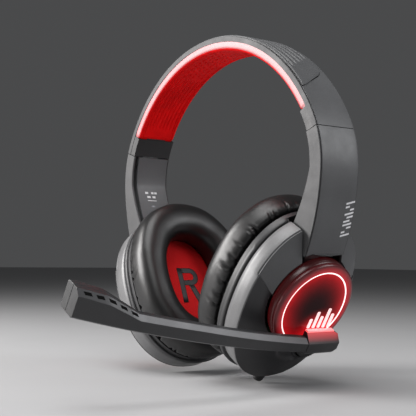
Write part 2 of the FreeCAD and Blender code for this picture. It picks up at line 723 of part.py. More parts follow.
def boom_half(outer_side):
    """Outer or inner half of the boom's casing, as a loft through its stations."""
    wires = []
    for station in BOOM_STATIONS:
        forward, face_height, chamfer_up, chamfer_in, thickness = station
        outer, bottom, shoulder, top = boom_outline(station)
        split = outer - 0.55 * thickness
        inner = outer - thickness
        low = bottom - CASING_EDGE
        if outer_side:
            corners = [(split, low), (outer - CASING_EDGE, low), (outer, bottom),
                       (outer, shoulder), (outer - chamfer_in, top), (split, top)]
        else:
            corners = [(split, low), (split, top), (inner + CASING_EDGE, top),
                       (inner, top - CASING_EDGE), (inner, bottom), (inner + CASING_EDGE, low)]
        points = [Vector(-forward, y, z) for z, y in corners]
        wires.append(Part.makePolygon(points + points[:1]))
    return Part.makeLoft(wires, True, True)


def build_boom(placement):
    """Base block, two casing halves and the microphone capsule."""
    profile = [(32.4, -20.0), (32.4, -8.0), (35.0, -8.0), (39.5, -12.7), (39.5, -18.2), (38.0, -20.0)]
    points = [Vector(-1.5, y, z) for z, y in profile]
    face = Part.Face(Part.makePolygon(points + points[:1]))
    base = face.extrude(Vector(25.5, 0, 0))
    capsule = Part.makeCylinder(3.0, 4.0, Vector(-130.0, 1.2, 11.2), Vector(0, 0, 1))
    capsule_way = Part.makeCylinder(3.1, 4.2, Vector(-130.0, 1.2, 11.1), Vector(0, 0, 1))
    outer_half = boom_half(True).cut(capsule_way)
    inner_half = boom_half(False).cut(capsule_way)
    outer_half = cut_all(outer_half, grille_slots())
    export("boom_base_block", placed(base, placement))
    export("boom_casing_outer", placed(outer_half, placement))
    export("boom_casing_inner", placed(inner_half, placement))
    export("microphone_capsule", placed(capsule, placement))


def grille_slots():
    """Slanted sound slots along the head's shoulder."""
    slots = []
    for index in range(SLOT_COUNT):
        forward = FIRST_SLOT - SLOT_PITCH * index
        after = next(number for number, station in enumerate(BOOM_STATIONS) if station[0] > forward)
        low = BOOM_STATIONS[after - 1]
        high = BOOM_STATIONS[after]
        share = (forward - low[0]) / (high[0] - low[0])
        low_edge = boom_outline(low)
        high_edge = boom_outline(high)
        outer = low_edge[0] + share * (high_edge[0] - low_edge[0])
        shoulder = low_edge[2] + share * (high_edge[2] - low_edge[2])
        slots.append(block(-forward - 2.0, -forward + 2.0, shoulder + 0.7, shoulder + 1.9,
                           outer - 4.0, outer + 3.0))
    return slots


build_headband()
build_arms()
build_cups()
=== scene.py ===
"""Looks of the gaming headset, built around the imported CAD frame.

Sizes are in millimetres in the tables and helpers, and become metres when a mesh is made.
+X is the wearer's left, -Y the wearer's front, +Z up; the origin is under the crown pad.
"""

import math
import random

import bmesh
import bpy
from mathutils import Matrix, Vector, kdtree, noise


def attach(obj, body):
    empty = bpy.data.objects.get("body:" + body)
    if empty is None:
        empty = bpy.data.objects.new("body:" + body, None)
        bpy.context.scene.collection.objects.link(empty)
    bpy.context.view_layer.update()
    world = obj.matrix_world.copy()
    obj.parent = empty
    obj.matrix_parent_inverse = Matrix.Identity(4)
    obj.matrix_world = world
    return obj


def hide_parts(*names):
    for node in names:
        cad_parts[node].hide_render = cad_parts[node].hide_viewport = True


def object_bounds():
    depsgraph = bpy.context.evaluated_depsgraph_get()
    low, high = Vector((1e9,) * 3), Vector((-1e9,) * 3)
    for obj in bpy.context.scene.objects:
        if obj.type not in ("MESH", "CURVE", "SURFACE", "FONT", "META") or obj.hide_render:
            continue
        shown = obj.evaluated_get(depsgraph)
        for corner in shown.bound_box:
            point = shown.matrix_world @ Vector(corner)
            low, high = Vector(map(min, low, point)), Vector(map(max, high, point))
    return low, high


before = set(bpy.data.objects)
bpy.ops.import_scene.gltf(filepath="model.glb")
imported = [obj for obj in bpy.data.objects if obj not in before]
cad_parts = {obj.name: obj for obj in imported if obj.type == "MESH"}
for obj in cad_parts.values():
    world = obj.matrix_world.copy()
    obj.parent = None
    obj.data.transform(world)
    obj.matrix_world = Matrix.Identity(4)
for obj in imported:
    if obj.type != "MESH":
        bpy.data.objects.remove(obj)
cad_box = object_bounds()

MM = 0.001

# ---- headband arch, as in the CAD source
CROWN_RADIUS = 102.6
SIDE_RADIUS = 60.3
ARM_RADIUS = 121.3
CROWN_ANGLE = 61.7
SIDE_ANGLE = 93.1
BAND_HALF = 14.3
BAND_HEIGHT = 8.3
JOINT_ANGLE = 70.3
ARM_END_ANGLE = 115.2
ARM_TOP_HEIGHT = 9.1
ARM_END_HEIGHT = 18.5
PAD_TOP = 3.2
PAD_END = 105.6               # arc length from the crown to the pad's end
SEAM = 0.55                   # open seam between the dark covers and the grey sides

# ---- ear cups, as in the CAD source
PIVOT = Vector((67.1, 1.1, -138.6))
TILT = {1: 30.0, -1: 25.2}
CUP_YAW = 3.0
PIVOT_OUT = 17.1
PIVOT_UP = 13.2
CUP_X = 38.6
CUP_Y = 50.6
OVAL_POWER = 2.26
CUSHION_THICK = 21.6
CUSHION_MARGIN = 1.3
HOLE_X = 19.6
HOLE_Y = 29.4
WALL_BOTTOM = 7.3
WALL_TOP = 18.8
DISC_UP = 6.1
BOSS_UP = 7.3                 # the boss leans: its foot is a little higher than the disc
BOSS_EDGE = 27.9

SIDE_NAME = {1: "left", -1: "right"}


# ---------------- camera, floor, light
CAMERA_AZIMUTH = 53.517
CAMERA_ELEVATION = -3.028
CAMERA_ROLL = 0.623
CAMERA_DISTANCE = 0.60111
CAMERA_RIGHT_SHIFT = -0.01349
CAMERA_TARGET_UP = -0.10264
CAMERA_LENS = 84.13


def make_camera():
    """Camera at the reference viewing angle."""
    azimuth = math.radians(CAMERA_AZIMUTH)
    elevation = math.radians(CAMERA_ELEVATION)
    roll = math.radians(CAMERA_ROLL)
    back = Vector((math.sin(azimuth) * math.cos(elevation), -math.cos(azimuth) * math.cos(elevation),
                   math.sin(elevation)))
    right = Vector((math.cos(azimuth), math.sin(azimuth), 0))
    up = back.cross(right)
    x_axis = right * math.cos(roll) + up * math.sin(roll)
    y_axis = up * math.cos(roll) - right * math.sin(roll)
    target = x_axis * CAMERA_RIGHT_SHIFT + y_axis * CAMERA_TARGET_UP + Vector((0, 0, BAND_HEIGHT * MM))
    place = Matrix((x_axis, y_axis, back)).transposed().to_4x4()
    place.translation = target + back * CAMERA_DISTANCE
    data = bpy.data.cameras.new("camera")
    data.lens = CAMERA_LENS
    data.sensor_width = 36
    data.clip_start = 0.01
    camera = bpy.data.objects.new("camera", data)
    bpy.context.scene.collection.objects.link(camera)
    camera.matrix_world = place
    bpy.context.scene.camera = camera


make_camera()
bpy.context.scene.view_settings.view_transform = "Standard"

# name: direction to the light, distance, width, height, watts, colour
LIGHTS = {
    "key_left": ((-0.64, -0.68, 0.34), 0.95, 0.40, 0.55, 14.5, (1.0, 0.98, 0.97)),
    "top": ((0.10, -0.25, 1.0), 0.80, 0.60, 0.60, 6.0, (1.0, 1.0, 1.0)),
    "rim_right": ((0.80, 0.62, 0.45), 0.95, 0.40, 0.50, 3.5, (0.97, 0.98, 1.0)),
    "front": ((0.78, -0.50, 0.95), 1.10, 0.60, 0.50, 2.4, (1.0, 1.0, 1.0)),
}
LIGHT_AIM = Vector((0, -0.01, -0.10))
WORLD_STRENGTH = 0.085


def make_lights():
    """Soft boxes round the object, and an even pale world."""
    for name, (direction, distance, width, height, watts, colour) in LIGHTS.items():
        data = bpy.data.lights.new(name, "AREA")
        data.shape = "RECTANGLE"
        data.size = width
        data.size_y = height
        data.energy = watts
        data.color = colour
        light = bpy.data.objects.new(name, data)
        bpy.context.scene.collection.objects.link(light)
        towards = Vector(direction).normalized()
        light.location = LIGHT_AIM + towards * distance
        light.rotation_euler = towards.to_track_quat("Z", "Y").to_euler()
    world = bpy.data.worlds.new("studio")
    world.use_nodes = True
    shade = world.node_tree.nodes["Background"]
    shade.inputs["Color"].default_value = (0.80, 0.81, 0.83, 1)
    shade.inputs["Strength"].default_value = WORLD_STRENGTH
    bpy.context.scene.world = world


make_lights()


# ---------------- materials
class Shader:
    """A node material with a Principled surface, and short ways to add texture to it."""

    def __init__(self, name, colour, roughness, **sockets):
        self.material = bpy.data.materials.new(name)
        self.material.use_nodes = True
        self.nodes = self.material.node_tree.nodes
        self.links = self.material.node_tree.links
        self.surface = self.nodes["Principled BSDF"]
        self.surface.inputs["Base Color"].default_value = (*colour, 1)
        self.surface.inputs["Roughness"].default_value = roughness
        for socket, value in sockets.items():
            self.surface.inputs[socket.replace("_", " ")].default_value = value
        self.place = self.nodes.new("ShaderNodeTexCoord").outputs["Object"]
        self.bump = None

    def feed(self, socket, value):
        """Links another node's output to a socket, or sets a number or a colour there."""
        if isinstance(value, bpy.types.NodeSocket):
            self.links.new(value, socket)
        else:
            socket.default_value = (*value, 1) if isinstance(value, tuple) else value

    def node(self, kind, output, inputs, **settings):
        """Adds a node with its inputs by name or index, and returns one output."""
        node = self.nodes.new("ShaderNode" + kind)
        for name, value in settings.items():
            setattr(node, name, value)
        for socket, value in inputs.items():
            self.feed(node.inputs[socket], value)
        return node.outputs[output]

    def noise(self, size_mm, detail=4.0, rough=0.6, place=None):
        """Noise factor with features of about one size."""
        return self.node("TexNoise", "Fac", {"Scale": 1 / (size_mm * MM), "Detail": detail,
                                             "Roughness": rough, "Vector": place or self.place})

    def cells(self, size_mm):
        """Voronoi distance, for leather grain."""
        return self.node("TexVoronoi", "Distance", {"Scale": 1 / (size_mm * MM), "Vector": self.place})

    def spread(self, factor, low, high, from_low=0.3, from_high=0.7):
        """The factor stretched to a range of values."""
        return self.node("MapRange", "Result", {"From Min": from_low, "From Max": from_high, "To Min": low,
                                                "To Max": high, "Value": factor})

    def math(self, operation, first, second):
        """One math node; either side may be a number."""
        return self.node("Math", 0, {0: first, 1: second}, operation=operation)

    def blend(self, factor, low, high):
        """Colour between two, by a factor."""
        return self.node("Mix", "Result", {"Factor": factor, "A": low, "B": high}, data_type="RGBA")

    def paint(self, colour):
        """Drives the base colour."""
        self.links.new(colour, self.surface.inputs["Base Color"])

    def polish(self, roughness):
        """Drives the roughness."""
        self.links.new(roughness, self.surface.inputs["Roughness"])

    def relief(self, height, depth_mm, strength=1.0):
        """Adds a bump, on top of any earlier one."""
        inputs = {"Distance": depth_mm * MM, "Strength": strength, "Height": height}
        if self.bump is not None:
            inputs["Normal"] = self.bump
        self.bump = self.node("Bump", "Normal", inputs)
        self.links.new(self.bump, self.surface.inputs["Normal"])

    def glow(self, colour, strength):
        """Emission in one colour; the strength is a node's output."""
        self.surface.inputs["Emission Color"].default_value = (*colour, 1)
        self.links.new(strength, self.surface.inputs["Emission Strength"])

    def axes(self):
        """The x, y and z of each point in the piece's own frame."""
        node = self.nodes.new("ShaderNodeSeparateXYZ")
        self.links.new(self.place, node.inputs[0])
        return node.outputs

    def distance(self, x, y, y_scale=1.0):
        """Length of (x, y), with the square of y weighted."""
        tall = self.math("MULTIPLY", y, self.math("MULTIPLY", y, y_scale))
        return self.math("SQRT", self.math("ADD", self.math("MULTIPLY", x, x), tall), 0)

    def disc_radius(self):
        """Distance from the lit disc's centre, in the cup's frame."""
        x, y = self.axes()[:2]
        return self.distance(x, self.math("SUBTRACT", y, DISC_UP * MM))


def scaled(colour, share):
    """A colour, lighter or darker."""
    return tuple(min(1.0, channel * share) for channel in colour)


def moulded(name, colour, roughness, grain_mm=0.35, grain_depth=0.005, wear=1.12, **sockets):
    """Moulded plastic: fine spark-eroded grain, slow colour drift and handling marks in the gloss."""
    shader = Shader(name, colour, roughness, **sockets)
    drift = shader.spread(shader.noise(24.0, 3.0), 0.0, 1.0)
    speck = shader.spread(shader.noise(grain_mm * 2, 2.0), 0.0, 1.0)
    base = shader.blend(drift, scaled(colour, 2 - wear), scaled(colour, wear))
    shader.paint(shader.blend(shader.math("MULTIPLY", speck, 0.25), base, scaled(colour, 1.5)))
    marks = shader.spread(shader.noise(11.0, 6.0, 0.7), roughness - 0.05, roughness + 0.07)
    shader.polish(marks)
    shader.relief(shader.noise(grain_mm, 2.0), grain_depth)
    shader.relief(shader.noise(38.0, 1.0), 0.10, 0.35)
    return shader.material


def leather(name, colour, roughness, grain_mm, grain_depth, lumps_mm=0.10, **sockets):
    """Leatherette: pebbled grain with fine pores, softer gloss in the hollows."""
    shader = Shader(name, colour, roughness, **sockets)
    pebble = shader.cells(grain_mm)
    pores = shader.noise(grain_mm * 0.45, 3.0)
    drift = shader.spread(shader.noise(13.0, 4.0), 0.0, 1.0)
    shader.paint(shader.blend(drift, scaled(colour, 0.86), scaled(colour, 1.18)))
    grain = shader.math("ADD", pebble, pores)
    shader.polish(shader.spread(grain, roughness - 0.05, roughness + 0.10, 0.3, 1.4))
    shader.relief(pebble, grain_depth)
    shader.relief(pores, grain_depth * 0.6)
    shader.relief(shader.noise(5.5, 3.0), lumps_mm, 0.5)
    return shader.material


def cloth(name, colour, thread_mm):
    """Open plain weave: two crossed sets of threads, dark between them, with a soft sheen."""
    shader = Shader(name, colour, 0.85, Sheen_Weight=0.05, Sheen_Roughness=0.5, Specular_IOR_Level=0.2)
    turns = 2 * math.pi / (thread_mm * MM)
    waves = [shader.math("SINE", shader.math("MULTIPLY", axis, turns), 0) for axis in shader.axes()[:2]]
    threads = shader.math("MULTIPLY", *waves)
    height = shader.spread(threads, 0.0, 1.0, -0.7, 0.7)
    fuzz = shader.noise(0.5, 3.0)
    shader.paint(shader.blend(height, scaled(colour, 0.55), scaled(colour, 1.1)))
    shader.relief(height, 0.12)
    shader.relief(fuzz, 0.05)
    return shader.material


def metal(name, colour, roughness):
    """Brushed metal with drawn-out scratches."""
    shader = Shader(name, colour, roughness, Metallic=1.0)
    stretch = shader.nodes.new("ShaderNodeMapping")
    stretch.inputs["Scale"].default_value = (1, 14, 1)
    shader.links.new(shader.place, stretch.inputs["Vector"])
    lines = shader.noise(1.2, 4.0, 0.7, stretch.outputs["Vector"])
    shader.polish(shader.spread(lines, roughness - 0.08, roughness + 0.12))
    stain = shader.spread(shader.noise(9.0), 0, 1)
    shader.paint(shader.blend(stain, scaled(colour, 0.85), scaled(colour, 1.1)))
    shader.relief(lines, 0.01)
    return shader.material


def lamp(name, colour, strength):
    """Light pipe: milky plastic lit from inside, a little uneven."""
    shader = Shader(name, (0.9, 0.8, 0.8), 0.3)
    shader.glow(colour, shader.spread(shader.noise(7.0, 2.0), strength * 0.92, strength * 1.06))
    return shader.material


def smoked_lens(name):
    """Smoked glossy lens, lit red from behind: dim in the middle, strong at the edge and low down."""
    shader = Shader(name, (0.010, 0.004, 0.005), 0.14, Specular_IOR_Level=0.14)
    edge = shader.math("POWER", shader.math("DIVIDE", shader.disc_radius(), 21.0 * MM), 3.5)
    x, y = shader.axes()[:2]
    aside = shader.math("SUBTRACT", x, 9.0 * MM)
    below = shader.math("SUBTRACT", y, -9.0 * MM)
    pool = shader.spread(shader.distance(aside, below, 1.4), 1.0, 0.0, 0.0, 19.0 * MM)
    pool = shader.math("MULTIPLY", pool, pool)
    light = shader.math("ADD", shader.math("MULTIPLY", edge, 0.40), shader.math("MULTIPLY", pool, 1.5))
    haze = shader.math("MULTIPLY", light, shader.spread(shader.noise(9.0, 3.0), 0.85, 1.15))
    shader.glow((1.0, 0.012, 0.02), shader.math("ADD", haze, 0.006))
    shader.relief(shader.noise(1.5, 2.0), 0.004)
    return shader.material


def painted_red_glow(name, colour, roughness, glow, start, end):
    """Moulded plastic with a painted red glow: emission for the red light that reaches it, all of it at the
    start height and none at the end height.
    """
    shader = Shader(name, colour, roughness)
    shader.glow((1.0, 0.05, 0.06), shader.spread(shader.axes()[1], 0.0, glow, end * MM, start * MM))
    drift = shader.spread(shader.noise(24.0, 3.0), 0.0, 1.0)
    shader.paint(shader.blend(drift, scaled(colour, 0.9), scaled(colour, 1.1)))
    shader.relief(shader.noise(0.35, 2.0), 0.012)
    return shader.material


def lit_collar(name, colour, inner, outer, start, end):
    """Dark glossy plastic round the disc with a painted red glow: emission for the light of the ring inside
    it, set between two radii.
    """
    shader = Shader(name, colour, 0.26, Specular_IOR_Level=0.4)
    near = shader.spread(shader.disc_radius(), inner, outer, start * MM, end * MM)
    uneven = shader.spread(shader.noise(8.0), 0.8, 1.15)
    shader.glow((1.0, 0.03, 0.045), shader.math("MULTIPLY", near, uneven))
    shader.relief(shader.noise(1.5, 2.0), 0.003)
    return shader.material


COVER = moulded("cover_plastic", (0.076, 0.077, 0.080), 0.42)
# The cover's plastic made darker for the lower skirt and the wheel lip: painted shade.
SKIRT_PAINTED_SHADE = moulded("skirt_painted_shade", (0.022, 0.022, 0.024), 0.40)
SIDES = moulded("side_plastic", (0.15, 0.15, 0.153), 0.36, grain_mm=0.4, grain_depth=0.0012)
ARM_SIDES = moulded("arm_side_plastic", (0.060, 0.060, 0.062), 0.52, grain_mm=0.4, grain_depth=0.0012,
                    Specular_IOR_Level=0.34)
BEZEL = moulded("bezel_plastic", (0.036, 0.036, 0.038), 0.42)
INNER = moulded("inner_plastic", (0.012, 0.012, 0.013), 0.50)
PLATE = moulded("plate_plastic", (0.085, 0.086, 0.090), 0.42)
BOOM = moulded("boom_plastic", (0.020, 0.0205, 0.022), 0.38)
# Lighter copies of the boom plastic for the upward chamfers of the bar and the head: painted highlight.
BOOM_CHAMFER_HIGHLIGHT = moulded("boom_chamfer_painted_highlight", (0.12, 0.12, 0.125), 0.36)
HEAD_CHAMFER_HIGHLIGHT = moulded("head_chamfer_painted_highlight", (0.055, 0.055, 0.058), 0.38)
PANEL = moulded("panel_rubber", (0.070, 0.071, 0.074), 0.46, grain_mm=0.2, grain_depth=0.001)
RUBBER = moulded("rubber_black", (0.018, 0.018, 0.019), 0.62, grain_mm=0.6, grain_depth=0.02)
# Boss and collar: dark glossy plastic with a painted red glow, strongest towards the disc's centre.
GLOSS_RED_GLOW = lit_collar("gloss_black", (0.013, 0.010, 0.010), 0.055, 0.013, 26.0, 28.3)
COLLAR_RED_GLOW = lit_collar("collar_painted_red_glow", (0.060, 0.016, 0.018), 0.42, 0.03, 22.8, 26.5)
HIDE = leather("leatherette", (0.008, 0.0078, 0.008), 0.33, 0.7, 0.022, 0.07)
# The pad's side faces: a paler pink copy of its red leather, as painted highlight.
RED_PAD_SIDE_HIGHLIGHT = leather("red_pad", (0.50, 0.11, 0.12), 0.45, 0.7, 0.001, 0.003,
                  Coat_Weight=0.7, Coat_Roughness=0.45)
RED_UNDER = leather("red_pad_underside", (0.80, 0.002, 0.003), 0.60, 0.7, 0.001, 0.003,
                    Specular_IOR_Level=0.10)
RED_CLOTH = cloth("red_cloth", (0.62, 0.005, 0.007), 0.9)
STEEL = metal("steel", (0.55, 0.55, 0.56), 0.32)
# Redder copy of the boom plastic with emission for the block's bevel: painted red glow from the strip.
BLOCK_EDGE_RED_GLOW = painted_red_glow("block_edge_painted_glow", (0.060, 0.040, 0.042), 0.50, 0.60, -8.0, -12.0)
SCREW = metal("screw_steel", (0.10, 0.10, 0.105), 0.38)
FILM = moulded("diaphragm_film", (0.55, 0.53, 0.46), 0.20, grain_mm=1.5, grain_depth=0.002)
BOARD = moulded("circuit_board", (0.012, 0.09, 0.035), 0.30, grain_mm=0.8, grain_depth=0.01)
LIGHT_PIPE = lamp("light_pipe", (1.0, 0.72, 0.72), 1.5)
LENS = smoked_lens("smoked_lens")
GLYPH = lamp("glyph_light", (1.0, 0.50, 0.50), 1.0)
RED_STRIP = lamp("red_strip_light", (1.0, 0.006, 0.012), 1.0)
PRINT = moulded("white_print", (0.72, 0.72, 0.74), 0.45, grain_depth=0.004)
BLACK_PRINT = moulded("black_print", (0.010, 0.010, 0.011), 0.55, grain_depth=0.02)
# Black for painted shade: the panel's grooves and edge, and the mic's sound slots.
PAINTED_SHADE_BLACK = moulded("painted_shade_black", (0.003, 0.003, 0.003), 0.80, Specular_IOR_Level=0.1)


# ---------------- mesh helpers
def new_piece(name, vertices, faces, place=None):
    """Object from vertices in millimetres."""
    mesh = bpy.data.meshes.new(name)
    mesh.from_pydata([tuple(Vector(vertex) * MM) for vertex in vertices], [], faces)
    mesh.validate()
    tidy = bmesh.new()
    tidy.from_mesh(mesh)
    bmesh.ops.remove_doubles(tidy, verts=tidy.verts, dist=1e-6)
    bmesh.ops.recalc_face_normals(tidy, faces=tidy.faces)
    tidy.to_mesh(mesh)
    tidy.free()
    piece = bpy.data.objects.new(name, mesh)
    bpy.context.scene.collection.objects.link(piece)
    if place is not None:
        piece.matrix_world = place
    return piece


def grid(rows, round_row=True, round_rows=False, caps=True):
    """Vertices and faces between rows of equal length."""
    width = len(rows[0])
    vertices = [point for row in rows for point in row]
    faces = []
    row_pairs = len(rows) if round_rows else len(rows) - 1
    column_pairs = width if round_row else width - 1
    for row in range(row_pairs):
        below = row * width
        above = ((row + 1) % len(rows)) * width
        for column in range(column_pairs):
            beside = (column + 1) % width
            faces.append((below + column, below + beside, above + beside, above + column))
    if caps and round_row and not round_rows:
        faces.append(tuple(range(width)))
        faces.append(tuple(reversed(range(len(vertices) - width, len(vertices)))))
    return vertices, faces


def join_parts(parts):
    """One vertex and face list from several."""
    vertices = []
    faces = []
    for part_vertices, part_faces in parts:
        start = len(vertices)
        vertices += part_vertices
        faces += [tuple(index + start for index in face) for face in part_faces]
    return vertices, faces


def finish(piece, body, slot, material, replaces=(), bevel=0.0, angle=32.0):
    """Shading, material, and the body that the piece rides on."""
    mesh = piece.data
    if material is not None and not mesh.materials:
        mesh.materials.append(material)
    mesh.shade_smooth()
    mesh.set_sharp_from_angle(angle=math.radians(angle))
    if bevel:
        modifier = piece.modifiers.new("edges", "BEVEL")
        modifier.width = bevel * MM
        modifier.segments = 3
        modifier.limit_method = "ANGLE"
        modifier.angle_limit = math.radians(angle)
        modifier.harden_normals = True
    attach(piece, body)
    if replaces:
        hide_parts(*replaces)
    return piece


def paint_faces(piece, materials, pick):
    """Several materials; pick(face) gives a face's index among them."""
    for material in materials:
        piece.data.materials.append(material)
    for face in piece.data.polygons:
        face.material_index = int(pick(face))


def lerp(low, high, share):
    """Between two numbers."""
    return low + (high - low) * share


def interpolate(value, knots, values):
    """Piecewise-linear value."""
    if value <= knots[0]:
        return values[0]
    for low, high, first, second in zip(knots, knots[1:], values, values[1:]):
        if value <= high:
            return lerp(first, second, (value - low) / (high - low))
    return values[-1]


def smooth(value, low, high):
    """0 below low, 1 above high, eased between."""
    share = min(1.0, max(0.0, (value - low) / (high - low)))
    return share * share * (3 - 2 * share)


def rounded(corners, radius, steps=4):
    """A polygon's corners as arcs, each with the same number of points."""
    result = []
    count = len(corners)
    for index in range(count):
        before = Vector(corners[index - 1])
        here = Vector(corners[index])
        after = Vector(corners[(index + 1) % count])
        reach = min(radius, 0.45 * (here - before).length, 0.45 * (after - here).length)
        start = here + (before - here).normalized() * reach
        end = here + (after - here).normalized() * reach
        for step in range(steps + 1):
            share = step / steps
            result.append(start.lerp(here, share).lerp(here.lerp(end, share), share))
    return result


# ---------------- arch helpers
def pointing(degrees):
    """Unit direction (x, z) at an angle from straight up."""
    return Vector((math.sin(math.radians(degrees)), math.cos(math.radians(degrees))))


def arc_centres():
    """Centres of the crown, side and arm arcs, as (x, z)."""
    crown = Vector((0.0, BAND_HEIGHT - CROWN_RADIUS))
    side = crown + (CROWN_RADIUS - SIDE_RADIUS) * pointing(CROWN_ANGLE)
    return crown, side, side + (SIDE_RADIUS - ARM_RADIUS) * pointing(SIDE_ANGLE)


CENTRES = arc_centres()


def arch(angle, depth, y):
    """Point at a normal angle in degrees (positive on the wearer's left) below the arch's outer face."""
    size = abs(angle)
    if size <= CROWN_ANGLE:
        centre, radius = CENTRES[0], CROWN_RADIUS
    elif size <= SIDE_ANGLE:
        centre, radius = CENTRES[1], SIDE_RADIUS
    else:
        centre, radius = CENTRES[2], ARM_RADIUS
    turn = math.radians(size)
    x = centre.x + (radius - depth) * math.sin(turn)
    z = centre.y + (radius - depth) * math.cos(turn)
    return Vector((math.copysign(x, angle), y, z))


def angle_at(length):
    """Normal angle at an arc length from the crown, measured on the outer face."""
    crown_length = CROWN_RADIUS * math.radians(CROWN_ANGLE)
    side_length = SIDE_RADIUS * math.radians(SIDE_ANGLE - CROWN_ANGLE)
    size = abs(length)
    if size <= crown_length:
        angle = math.degrees(size / CROWN_RADIUS)
    elif size <= crown_length + side_length:
        angle = CROWN_ANGLE + math.degrees((size - crown_length) / SIDE_RADIUS)
    else:
        angle = SIDE_ANGLE + math.degrees((size - crown_length - side_length) / ARM_RADIUS)
    return math.copysign(angle, length)


def steps_between(start, end, step):
    """Evenly spaced values from start to end."""
    count = max(1, round(abs(end - start) / step))
    return [lerp(start, end, index / count) for index in range(count + 1)]


def sweep(angles, section, end_curve=None):
    """Closed solid along the arch: section(angle) gives (y, depth) corners, end_curve(y) adds at the end."""
    rows = []
    for index, angle in enumerate(angles):
        reach = math.copysign((index / (len(angles) - 1)) ** 6, angle) if end_curve else 0.0
        rows.append([arch(angle + (end_curve(y) * reach if end_curve else 0.0), depth, y)
                     for y, depth in section(angle)])
    return grid(rows)


# ---------------- headband
RIM = 0.5                     # thickness of the grey rim beside the dark covers
RIM_FOOT = 1.35
REAR_RIM = 0.8                # depth of the rear rim's edge
SHELL_HALF = BAND_HALF - RIM - SEAM
COVER_THICK = 1.2
ARM_STEP = 1.5
BAND_GAP = 0.45               # open parting line above each arm, degrees
BAND_ANGLES = steps_between(-JOINT_ANGLE, JOINT_ANGLE, ARM_STEP)


COVER_SECTION = [tuple(corner) for corner in rounded(
    [(-SHELL_HALF, COVER_THICK), (-SHELL_HALF, 0.0), (SHELL_HALF, 0.0), (SHELL_HALF, COVER_THICK)], 0.45)]


def headband_cover():
    """Dark outer cover with rounded edges."""
    piece = new_piece("band_cover", *sweep(BAND_ANGLES, lambda angle: COVER_SECTION))
    finish(piece, "headband", "cover_plastic", COVER, ["headband_outer_shell"])


def headband_sides():
    """Grey channel whose rims and sides show along the band; the rear rim lies lower."""
    corners = [(BAND_HALF, PAD_TOP), (BAND_HALF, 0.15), (BAND_HALF - RIM, 0.15), (BAND_HALF - RIM, RIM_FOOT)]
    front = [corners[0]] + [tuple(point) for point in rounded(corners, 0.3, 3)[4:12]] + [corners[-1]]
    rear = [(y, max(depth, REAR_RIM)) for y, depth in front]
    section = rear + [(-y, depth) for y, depth in reversed(front)]
    piece = new_piece("band_sides", *sweep(BAND_ANGLES, lambda angle: section))
    finish(piece, "headband", "side_plastic", ARM_SIDES, ["headband_frame"], angle=18)


PANEL_FRONT = -SHELL_HALF + 0.35
PANEL_REAR = 9.9
PANEL_CORNER = 6.0
PANEL_RISE = 0.85
GROOVE_PITCH = 4.35
GROOVE_END = 72.5             # arc length from the crown, 3 mm in front of the middle
GROOVE_SLANT = 0.68
GROOVES = [-10.2 + GROOVE_PITCH * index for index in range(5)]


def panel_end(y):
    """Arc length from the crown to the panel's slanted, rounded end."""
    slant = lerp(95.0, 79.5, smooth(y, PANEL_FRONT - 6, PANEL_REAR + 5))
    corner = max(0.0, y - (PANEL_REAR - PANEL_CORNER)) / PANEL_CORNER
    return slant - PANEL_CORNER * (1 - math.sqrt(max(0.0, 1 - corner * corner)))


def rib_dip(length, y):
    """Depth of the lengthwise grooves at a point of the panel."""
    end = GROOVE_END - GROOVE_SLANT * (y + 3.0)
    inside = 1 - smooth(abs(length), end - 2.0, end)
    return 0.70 * max(1 - smooth(abs(y - middle), 0.35, 0.85) for middle in GROOVES) * inside


def rib_panel():
    """Raised top insert with lengthwise grooves and slanted ends; black strips paint shade in the grooves and
    a shadow round the edge.
    """
    lines = [middle + step for middle in GROOVES
             for step in (-0.9, -0.6, -0.3, 0.0, 0.3, 0.6, 0.9, 0.5 * GROOVE_PITCH)]
    lines += [PANEL_FRONT + step for step in (0.0, 0.12, 0.3, 0.6)]
    lines += [PANEL_REAR - step for step in (0.0, 0.12, 0.3, 0.6, 1.0, 1.6, 2.2, 3.2, 4.4, 5.6)]
    lines.sort()
    rows = []
    shares = steps_between(-1.0, 1.0, 0.0125)
    for share in shares:
        row = []
        for y in lines:
            length = share * panel_end(y)
            edge = min(y - PANEL_FRONT, PANEL_REAR - y, panel_end(y) - abs(length))
            round_off = 0.40 * (1 - smooth(edge, -0.05, 0.4))
            row.append(arch(angle_at(length), -PANEL_RISE + round_off + rib_dip(length, y), y))
        rows.append(row + [arch(angle_at(share * panel_end(y)), 0.05, y) for y in (lines[-1], lines[0])])
    piece = new_piece("rib_panel", *grid(rows))
    finish(piece, "headband", "panel_rubber", PANEL, ["headband_rib_panel"], angle=50)
    # Black strips at the bottom of the grooves: painted shade.
    strip = ((-0.42, -0.19), (0.42, -0.19), (0.42, -0.05), (-0.42, -0.05))
    parts = []
    for middle in GROOVES:
        reach = GROOVE_END - 2.0 - GROOVE_SLANT * (middle + 3.0)
        parts.append(grid([[arch(angle_at(length), depth, middle + aside) for aside, depth in strip]
                           for length in steps_between(-reach, reach, 1.5)]))
    piece = new_piece("panel_groove_shade", *join_parts(parts))
    finish(piece, "headband", "panel_rubber", PAINTED_SHADE_BLACK)
    # A black band a little wider than the panel, under its edge: painted shadow round the panel.
    outline = ((lines[0], -0.3), (0.0, 0.0), (PANEL_REAR - 5.0, 0.1), (PANEL_REAR - 2.5, 0.2),
               (PANEL_REAR - 1.0, 0.3), (lines[-1], 0.45))
    shadow_band = [[arch(angle_at(share * (panel_end(y) + 0.5)), -0.05, y + spread) for y, spread in outline]
            for share in shares]
    piece = new_piece("panel_painted_shadow", *grid(shadow_band, round_row=False, caps=False))
    finish(piece, "headband", "panel_rubber", PAINTED_SHADE_BLACK)


PAD_HALF = 14.0
PAD_ROLL = 2.3
PAD_BELLY = 0.06
PAD_BOTTOM = 8.3
PAD_SEAM = 11.2               # groove along each side, from the middle line
PAD_FIELD = 10.6              # half the width of the ribbed and slotted field
PAD_RIB_PITCH = 2.7
PAD_RIB_END = 98.0
PAD_CENTRE = 44.0             # arc length of the zone with slots
SLOT_LENGTH = 2.8
SLOT_PITCH = 4.8
SLOT_ROW = 3.3


